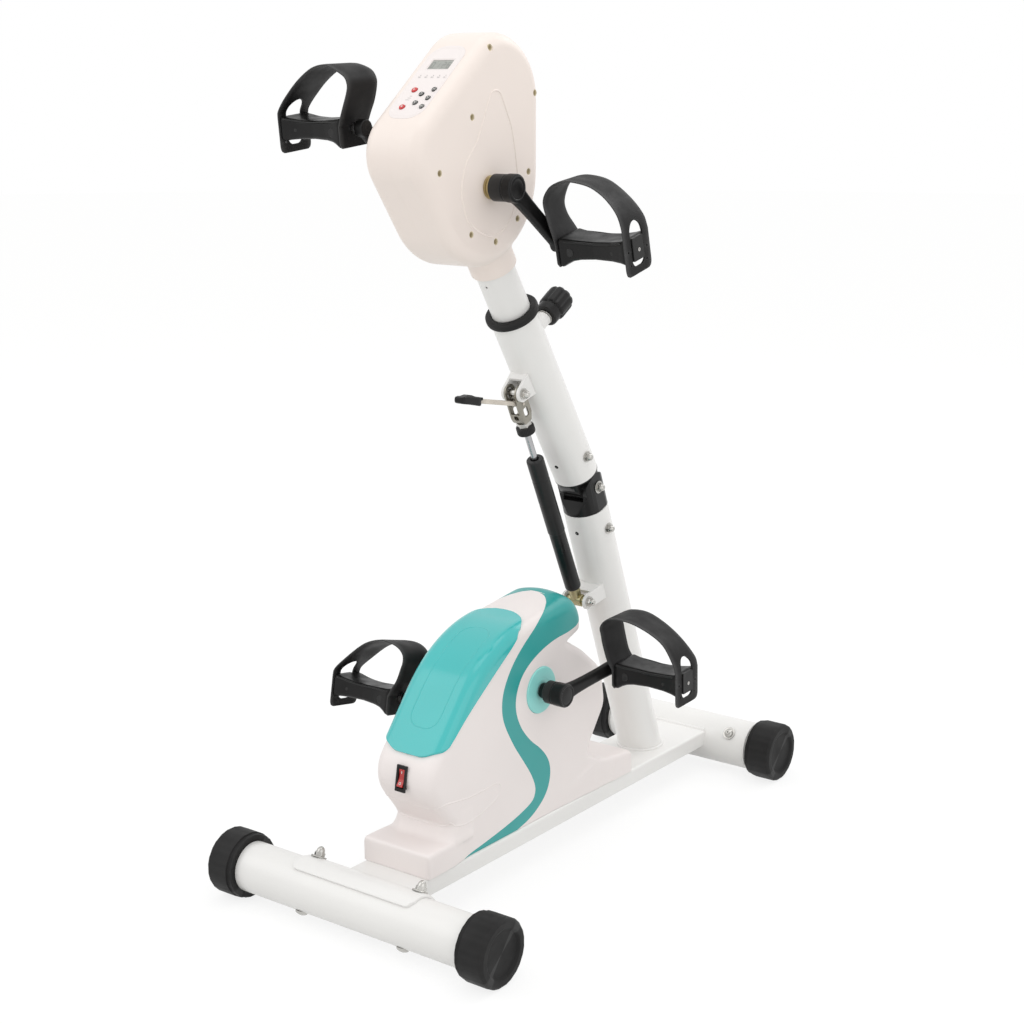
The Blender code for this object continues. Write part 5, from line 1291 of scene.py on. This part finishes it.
def ridge_on(name, points, cast, mat, width, height, closed):
    """A bead over points that are cast on a surface; cast gives back the spot and its normal."""
    path, normals = [], {}
    for p in points:
        near, normal = cast(p)
        path.append(near)
        normals[tuple(near)] = normal
    put(name, bead(path, lambda p: normals[tuple(p)], width, height, closed), mat, "base", flat=False)


def make_cover():
    floor = CHANNEL_TOP + SEAT
    wall_in = COVER_HALF - 0.003
    line = [(p.x / 1000, p.y / 1000) for p in smooth_path(STRIPE_LINE[:-1], 5)] + [(0.045, 0.345)]
    shell = keep(cover_body(), box(SEAM, 0.1, -0.4, 0.2, floor, 0.4))
    tree = BVHTree.FromObject(shell, bpy.context.evaluated_depsgraph_get())
    rough = {"inset": 0.003, "turn_step": 15, "steps": 4}
    hollow = housing(HUMP, -0.01, wall_in, COVER_EDGE - 0.003, shift=crown, inner_rows=(0.015,), **rough)
    join(hollow, housing(DRUM, -0.012, wall_in - 0.0002, COVER_EDGE - 0.003, **rough),
         box(-0.014, wall_in - 0.0004, -0.225, 0.043, 0.03, 0.070))
    cut(shell, hollow, moved(rod(DISC_R + SEAT, wall_in - 0.02, 0.06, 72), y=HUB[0], z=HUB[1]))
    wide, tall = BEZEL_HALF - 0.0016, BEZEL_TALL - 0.003
    hole = spun(box(-wide, wide, -0.004, 0.015, -tall, tall), SWITCH_TILT)
    cut(shell, moved(hole, y=nose_y(), z=SWITCH_Z))
    inlay = twin(shell)
    cut(shell, prism(grown(line, 0.00005), -0.01, 0.06))
    keep(inlay, prism(line, -0.012, 0.062))
    crescent = evenly(smooth_path([Vector(p) / 1000 for p in CRESCENT], 8), 170)
    groove = mm([(16.2, 0), (15.6, -0.4), (15, -0.4), (14.4, 0), (11, 0)], DISC_FACE)
    bore, neck_r, neck_end = SPINDLE_R + RUN, 0.012, 0.0406
    for side, word in SIDES:
        for name, mat, ob in (("cover_shell_", CREAM, shell), ("cover_stripe_", STRIPE, inlay)):
            made = ob if side > 0 else mirrored(twin(ob))
            put(name + word, made, mat, "base", None, [f"cover_{word}"] if mat is CREAM else (), angle=32)
        disc = lathe([(bore, wall_in - 0.006), (neck_r, wall_in - 0.006), (neck_r, neck_end),
                      (DISC_R, neck_end), (DISC_R, DISC_FACE - 0.0012), (DISC_R - 0.0006, DISC_FACE - 0.0004),
                      (DISC_R - 0.0016, DISC_FACE), *groove, (bore, DISC_FACE - 0.0006)], 72, "X")
        put(f"disc_{word}", sided(disc, side), PALE, "base", leaning(*HUB, 0), [f"hub_disc_{word}"])

        def cast(p):
            near, normal = tree.find_nearest(p)[:2]
            near.x, normal.x = side * near.x, side * normal.x
            return near, normal

        ridge_on("cover_ridge_" + word, crescent, cast, CREAM, 0.0022, 0.0006, False)
    make_trim()
    make_switch()


# The glossy panel's edge seen from the side
TRIM_STAMP = mm([(-262, 190), (-259, 192.5), (-247, 199), (-234, 210), (-212, 229.5), (-172, 259),
                 (-132, 287), (-124, 292.8), (-117, 298.5), (-110, 302.8), (-100, 306.4), (-70, 312)])
# Half of its upper end seen from above, and of its rounded lower end, measured up the slope
TRIM_END = mm([(0, -77.4), (12, -78.5), (22, -82), (30, -87.2), (36, -93.5), (41, -102), (44, -111),
               (60, -140)])
TRIM_FOOT = mm([(0, -3), (12, -2.4), (22, -0.6), (30, 3), (37, 7.6), (42, 13.5), (45.5, 21), (48, 33),
                (60, 100)])


def trim_skin(out):
    """The hump's whole skin, moved outward."""
    rows = [(0.0, 0.0), (0.010, 0.0), (0.020, 0.0), (0.028, 0.0)]
    rows += edge_rows(COVER_HALF + out, COVER_EDGE + out, 12)
    rows = [(-x, extra) for x, extra in reversed(rows[1:])] + rows
    return loft([[crown((x, y, z)) for y, z in rounded(HUMP, extra - out, 2.5)] for x, extra in rows])


def make_trim():
    trim = trim_skin(SEAT + TRIM_THICK)
    cut(trim, trim_skin(SEAT))
    side = [(-0.290, 0.213), *smooth_points(TRIM_STAMP), (-0.060, 0.340), (-0.060, 0.360), (-0.200, 0.380)]
    keep(trim, prism(side, -0.06, 0.06))
    end = smooth_points(TRIM_END)
    plan = [(-0.060, -0.400)] + [(-x, y) for x, y in end[:0:-1]] + end + [(0.060, -0.400)]
    keep(trim, plate(plan, 0.150, 0.400))
    low, high = Vector((-0.2600, 0.1900)), Vector((-0.0840, 0.3170))
    run = (high - low).normalized()
    out = Vector((-run.y, run.x))
    foot = smooth_points(TRIM_FOOT)
    plan = [(0.060, 0.400)] + foot[::-1] + [(-x, y) for x, y in foot[1:]] + [(-0.060, 0.400)]
    keep(trim, loft([[(x, low.x + run.x * y + out.x * reach, low.y + run.y * y + out.y * reach)
                      for x, y in plan] for reach in (-0.120, 0.120)]))
    put("top_panel", bevel(trim, 0.0010, 3, 50), TEAL, "base", None, ["cover_top_panel"], angle=30)

    skin = trim_skin(SEAT + TRIM_THICK)
    tree = BVHTree.FromObject(skin, bpy.context.evaluated_depsgraph_get())
    bpy.data.objects.remove(skin, do_unlink=True)
    oblong = rounded([(-0.0185, 0.0300, 0.017), (0.0235, 0.0300, 0.017), (0.0245, 0.1760, 0.0190),
                      (-0.0175, 0.1760, 0.0190)], turn_step=5.0)

    def cast(p):
        spot = low + run * p.y + out * 0.1
        return tree.ray_cast(Vector((p.x, spot.x, spot.y)), Vector((0, -out.x, -out.y)))[:2]

    points = evenly([Vector(q) for q in oblong + oblong[:1]], 220)[:-1]
    ridge_on("top_panel_line", points, cast, TEAL, 0.0015, 0.0004, True)


def make_switch():
    at = leaning(nose_y(), SWITCH_Z, SWITCH_TILT)
    wide, tall = BEZEL_HALF, BEZEL_TALL
    bezel = along_y(rounded_box(-wide, wide, -tall, tall, 0.0008, 30), -0.0025, -0.0003)
    join(bezel, box(-wide + 0.0019, wide - 0.0019, -0.0010, 0.011, -tall + 0.0033, tall - 0.0033))
    cut(bezel, box(-0.0044, 0.0044, -0.01, 0.02, -0.0112, 0.0112))
    put("switch_frame", bevel(bezel, 0.0004), PLASTIC, "base", at, ["switch_bezel"])
    t, tilt = 0.0104, -7.0
    upper = [(0.0020, t), (-0.0062, t), (-0.0066, t - 0.0010), (-0.0050, t / 2), (-0.0043, 0.001)]
    outline = [(0.0020, -t)] + upper + [(y, -z) for y, z in reversed(upper[1:])]
    rocker = spun(prism(outline, -0.0041, 0.0041), tilt)
    spot = at @ Matrix.Translation((0, 0.0035, 0))
    put("rocker_cap", bevel(rocker, 0.0004, 3), RED, "rocker", spot, ["rocker_switch"])
    bar = box(-0.0004, 0.0004, -0.0061, -0.0045, 0.0050, 0.0080)
    ring = lathe(mm([(0.9, -6.2), (1.5, -6.2), (1.5, -4), (0.9, -4)]), 28, "Y")
    put("rocker_signs", spun(merged(bar, moved(ring, z=-0.0064)), tilt), PRINT, "rocker", spot)


# Cranks, pedals and straps


# Radii of the hub's outer and inner part and of the neck behind it, the neck's length, the seam's depth
HUBS = {"upper": (0.0157, 0.0150, 0.0150, 0.0, 0.0130), "lower": (0.0145, 0.0140, 0.0095, 0.008, 0.0165)}
# Sections of the arm: shares of its length and thickness, and of its width for either unit
ARM_SHARES = ((0.00, 1.0), (0.10, 1.0), (0.20, 1.0), (0.30, 0.98), (0.45, 0.96), (0.70, 0.96), (0.90, 1.0),
              (1.0, 1.0))
ARM_WIDTHS = {"upper": (1.40, 1.36, 1.22, 1.13, 1.08, 1.06, 1.05, 1.05),
              "lower": (1.30, 1.24, 1.08, 0.99, 0.94, 0.94, 1.01, 1.04)}


def make_crank(name, side, word, at, boss_in, boss_out, eye):
    """Arm, hub, cap and pedal pin of one crank, made for the right side."""
    outer, inner, neck, step, depth = HUBS[name]
    seam = boss_out - depth
    t = ARM_THICK / 2
    root = boss_out - t - 0.0030
    rings = []
    for (share, thick), widen in zip(ARM_SHARES, ARM_WIDTHS[name]):
        x, half, wide = root + (eye - root) * share, t * thick, ARM_WIDE / 2 * widen
        rings.append([(p, CRANK_LENGTH * share, q)
                      for p, q in rounded_box(x - half, x + half, -wide, wide, half * 0.72)])
    end = lathe(soft_ends(EYE_WIDE / 2 + 0.0004, eye - t, eye + t, 0.0016), 48, "X")
    body = melted(merged(lathe(soft_ends(outer, seam, boss_out, 0.0014), 48, "X"), loft(rings),
                         moved(end, y=CRANK_LENGTH)), 0.00085, 7)
    profile = [(0, boss_in), (neck - 0.0008, boss_in), (neck, boss_in + 0.0008)]
    if step:
        profile += [(neck, boss_in + step - 0.0006), (neck + 0.0008, boss_in + step),
                    (inner - 0.0012, boss_in + step), (inner, boss_in + step + 0.0012)]
    profile += [(inner, seam - 0.0016), (inner - 0.0012, seam - 0.0004), (inner - 0.0012, seam + 0.0016),
                (0, seam + 0.0016)]
    hub = lathe(profile, 64, "X")
    for ob in (body, hub):
        cut(ob, rod(SPINDLE_R + SEAT, boss_in - 0.01, boss_out - 0.006, 32))
    rim = mm([(10, -2), (13.8, -2), (13.8, -0.2), (13.4, 0.4), (12.6, 0.6), (11.8, 0.2), (11.4, -0.4),
              (10, -0.6)], boss_out)
    button = mm([(0, -2), (10.6, -2), (10.6, -0.2), (9.8, 0.2), (6, 0.6), (0, 0.7)], boss_out)
    detail = merged(lathe(rim, 56, "X"), lathe(button, 48, "X"))
    pin = merged(rod(0.0065, eye + t - 0.001, eye + 0.0124, 32, soft=0.0003),
                 rod(0.005, eye + 0.012, eye + 0.092, 32, soft=0.0003))
    for label, ob, mat, instead in (("arm", merged(body, hub), PLASTIC, [f"{name}_crank_{word}"]),
                                    ("boss_cap", detail, PLASTIC, ()),
                                    ("pedal_pin", moved(pin, y=CRANK_LENGTH), MACHINED, ())):
        if side < 0:
            spun(mirrored(ob), 180)
        put(f"{name}_{label}_{word}", ob, mat, f"{name}_crank", at, instead, flat=label != "arm")


# Each strap's front and back edge seen from the side, outward and up from the pedal's pin, in millimetres
LOOPS = {
    "upper_right": ([(13.9, 4), (12.2, 14), (7.7, 34), (5.3, 54), (13.4, 68), (24.9, 75.5),
                     (40, 78.4), (57.8, 76.6), (72.7, 72), (87.6, 61.3), (99.2, 45.8), (103.6, 30),
                     (104, 16)],
                    [(13.9, 4), (7.5, 14), (-0.5, 27.4), (-2.2, 42), (7, 60.6), (18.7, 68.8),
                     (34, 71.7), (56.3, 68.6), (72, 60.5), (88.9, 45.8), (100.5, 30), (104, 16)]),
    "lower_right": ([(13.9, 4), (7, 15), (1.4, 32), (-1.6, 46), (-2.9, 56), (3.8, 65), (13.4, 69),
                     (29, 70.3), (46.7, 68), (70, 60), (87.4, 48.8), (100.5, 28), (104, 16)],
                    [(13.9, 4), (6, 15), (1.9, 29), (-1.5, 45), (-2.7, 57.8), (8.6, 66.5),
                     (32.7, 68.2), (56.5, 59.8), (80, 45), (99.7, 25.6), (104, 14)]),
    "upper_left": ([(13.9, 4), (9.5, 15), (3.9, 27), (-2.6, 41), (-4.4, 50), (0, 58.9), (18, 68),
                    (29.8, 70.4), (47.6, 66), (69.4, 52.7), (91, 33.7), (102.5, 20), (104, 13)],
                    [(13.9, 4), (8.5, 15), (2, 27), (-3, 41), (-4, 51), (2, 60), (18, 66),
                     (31, 66.6), (49, 61), (70, 48.5), (90, 31.5), (101.5, 19.5), (104, 13)]),
    "lower_left": ([(13.9, 4), (9, 14), (2.4, 25), (-2.2, 40), (-4.6, 50), (-2.5, 59.5), (8.3, 67),
                    (28, 70), (45, 66.6), (62.4, 57.7), (85, 38.6), (101.5, 22), (104, 13)],
                    [(13.9, 4), (8, 14), (1.4, 26), (-2.6, 41), (-4.4, 51), (0, 60), (12, 65.5),
                     (29, 66), (47, 61), (64, 52.5), (84, 36), (100.5, 21), (104, 13)]),
}


# Sections of the pedal's body: shares of its length, then half width, top and bottom
PEDAL_SHARES = (0.0, 0.04, 0.10, 0.17, 0.28, 0.50, 0.76, 0.90, 0.96, 1.0)
PEDAL_ROWS = mm([(22.5, 12.5, -20.5), (22.4, 12.2, -19.7), (21.5, 11.5, -16.5), (20.4, 10.9, -13.8),
                 (19.2, 10.1, -12.1), (18.4, 9.4, -11), (19.6, 10.6, -11.4), (21.6, 12.5, -12.2),
                 (22.8, 13.9, -13), (23.2, 14.5, -13.8)])


def pedal_body():
    """The grooved tread between the strap's two flaps, with its ribs, studs and outer tab."""
    inner = FLAP_IN + STRAP_THICK / 2 + SEAT
    outer = FLAP_OUT - STRAP_THICK / 2 - SEAT
    rings = []
    for i in range(49):
        share = i / 48
        k = min(max(j for j, s in enumerate(PEDAL_SHARES) if s <= share + 1e-9), len(PEDAL_ROWS) - 2)
        t = (share - PEDAL_SHARES[k]) / (PEDAL_SHARES[k + 1] - PEDAL_SHARES[k])
        half, top, low = (a + (b - a) * t for a, b in zip(PEDAL_ROWS[k], PEDAL_ROWS[k + 1]))
        soft = 0.0008 * max(0.0, 1 - min(share, 1 - share) / 0.02)
        ring = []
        for y, z in rounded_box(-half + soft, half - soft, low + soft, top - soft, 0.0048, 11.25):
            dish = 0.0014 * max(0.0, 1 - (y / (half * 0.80)) ** 2) if z > top - 0.002 else 0.0
            ring.append((inner + (outer - inner) * share, y, z - dish))
        rings.append(ring)
    tab = prism(rounded_box(-0.0105, 0.0105, -0.0125, 0.0135, 0.0015), outer - 0.003,
                FLAP_OUT + STRAP_THICK / 2 + 0.0012)
    body = merged(loft(rings), settled(bevel(tab, 0.0006, 3)))
    for y_side in (-1, 1):
        lip = [(inner + 0.004, y_side * 0.0206, 0.0088), (inner + 0.030, y_side * 0.0192, 0.0082),
               (inner + 0.045, y_side * 0.0186, 0.0076), (inner + 0.064, y_side * 0.0192, 0.0086),
               (outer - 0.004, y_side * 0.0220, 0.0112)]
        body = merged(body, rope(smooth_path(lip, 10), 0.0011, closed=False))
        for x, half, z, r in ((0.013, 0.0206, -0.0030, 0.0050), (0.0685, 0.0196, -0.0010, 0.0022)):
            stud = lathe([(0, -0.003), (r, -0.003), (r, 0.0001), (r - 0.0005, 0.0006), (0, 0.0007)], 28)
            stud.data.transform(Matrix.Translation((inner + x, y_side * half, z)) @ toward((0, y_side, 0)))
            body = merged(body, stud)
    return cut(body, rod(0.0054, 0.0, FLAP_OUT - 0.011, 32))


def strap_loop(edges):
    """A moulded loop whose two edges follow their own lines, with the holes of its outer flap."""
    sides = []
    for loop in edges:
        path = [Vector((FLAP_IN, -0.0200 + 0.0015 * k)) for k in range(16)]
        path += evenly([p / 1000 for p in smooth_path(loop, 10)], 90)
        end = path[-1].y
        sides.append(path + [Vector((FLAP_OUT, end - (end + 0.0270) * k / 24)) for k in range(1, 25)])
    total, columns = len(sides[0]), 9
    rings = []
    for i in range(total):
        taper = 0.0035 * max(0.0, 1 - i / 3)
        if i > total - 6:
            k = (i - (total - 6)) / 5
            taper = 0.0052 * (1 - math.sqrt(max(1 - k * k, 0)))
        half = STRAP_HALF - taper
        outer, inner = [], []
        for c in range(columns):
            share = c / (columns - 1)
            before, here, after = (sides[0][k].lerp(sides[1][k], share)
                                   for k in (max(i - 1, 0), i, min(i + 1, total - 1)))
            ahead = after - before
            normal = Vector((-ahead.y, ahead.x)).normalized()
            y = -half + 2 * half * share
            thick = STRAP_THICK / 2 * (0.62 if c in (0, columns - 1) else 1.0)
            outer.append((here.x + normal.x * thick, y, here.y + normal.y * thick))
            inner.append((here.x - normal.x * thick, y, here.y - normal.y * thick))
        rings.append(outer + inner[::-1])
    strap = loft(rings)
    cut(strap, rod(0.0066, -0.01, 0.04, 32))
    arch = rounded_box(-0.0122, 0.0122, -0.0187, 0.0310, 0.0085, 7.5, 0.0121)
    cut(strap, prism(arch, FLAP_OUT - 0.02, FLAP_OUT + 0.02))
    for y, z in ((-0.0180, 0.0003), (0.0180, -0.0020), (-0.0155, -0.0150), (0.0155, -0.0160)):
        cut(strap, moved(rod(0.0013, FLAP_OUT - 0.004, FLAP_OUT + 0.004, 20), y=y, z=z))
    return strap


def make_pedal(name, side, word, centre, tilt):
    at = leaning(centre[1], centre[2], tilt, centre[0])
    body = f"{name}_pedal_{word}_body"
    put(f"{name}_grip_{word}", sided(pedal_body(), side), PLASTIC, body, at, [f"{name}_pedal_{word}"], 30)
    mark = merged(lathe(mm([(1.2, 0), (2, 0), (2, 0.3), (1.2, 0.3)]), 28), rod(0.0005, 0, 0.0003, 16, "Z"))
    spot = Matrix.Translation((FLAP_OUT + STRAP_THICK / 2 + 0.0011, 0.0009, -0.0014))
    mark.data.transform(spot @ toward((1, 0, 0)))
    put(f"{name}_mark_{word}", sided(mark, side), PRINT, body, at)
    strap = sided(strap_loop(LOOPS[f"{name}_{word}"]), side)
    put(f"{name}_loop_{word}", strap, STRAP, body, at, [f"{name}_strap_{word}"], 32)


def make_cranks():
    for name, origin in (("upper", HEAD_UP.to_translation()), ("lower", Vector((0, *HUB)))):
        angle, boss_in, boss_out, eye = CRANKS[name]
        for side, word in SIDES:
            make_crank(name, side, word, leaning(origin.y, origin.z, angle), boss_in, boss_out, eye)
            y, z = turned((side * CRANK_LENGTH, 0.0), angle)
            centre = (side * eye, origin.y + y, origin.z + z)
            make_pedal(name, side, word, centre, PEDAL_TILTS[f"{name}_{word}"])


def dress_hidden():
    """Better finishes for the CAD pieces that stay."""
    for unit in ("upper", "lower"):
        for part, mat in (("spindle", MACHINED), ("motor_pulley", MACHINED), ("motor", STEEL_BLACK),
                          ("belt", RUBBER)):
            for slot in NODES[f"{unit}_{part}"].material_slots:
                slot.material = mat


make_stage()
make_base()
make_post()
make_knuckle()
make_mast()
make_spring()
make_lever()
make_console()
make_cover()
make_cranks()
dress_hidden()
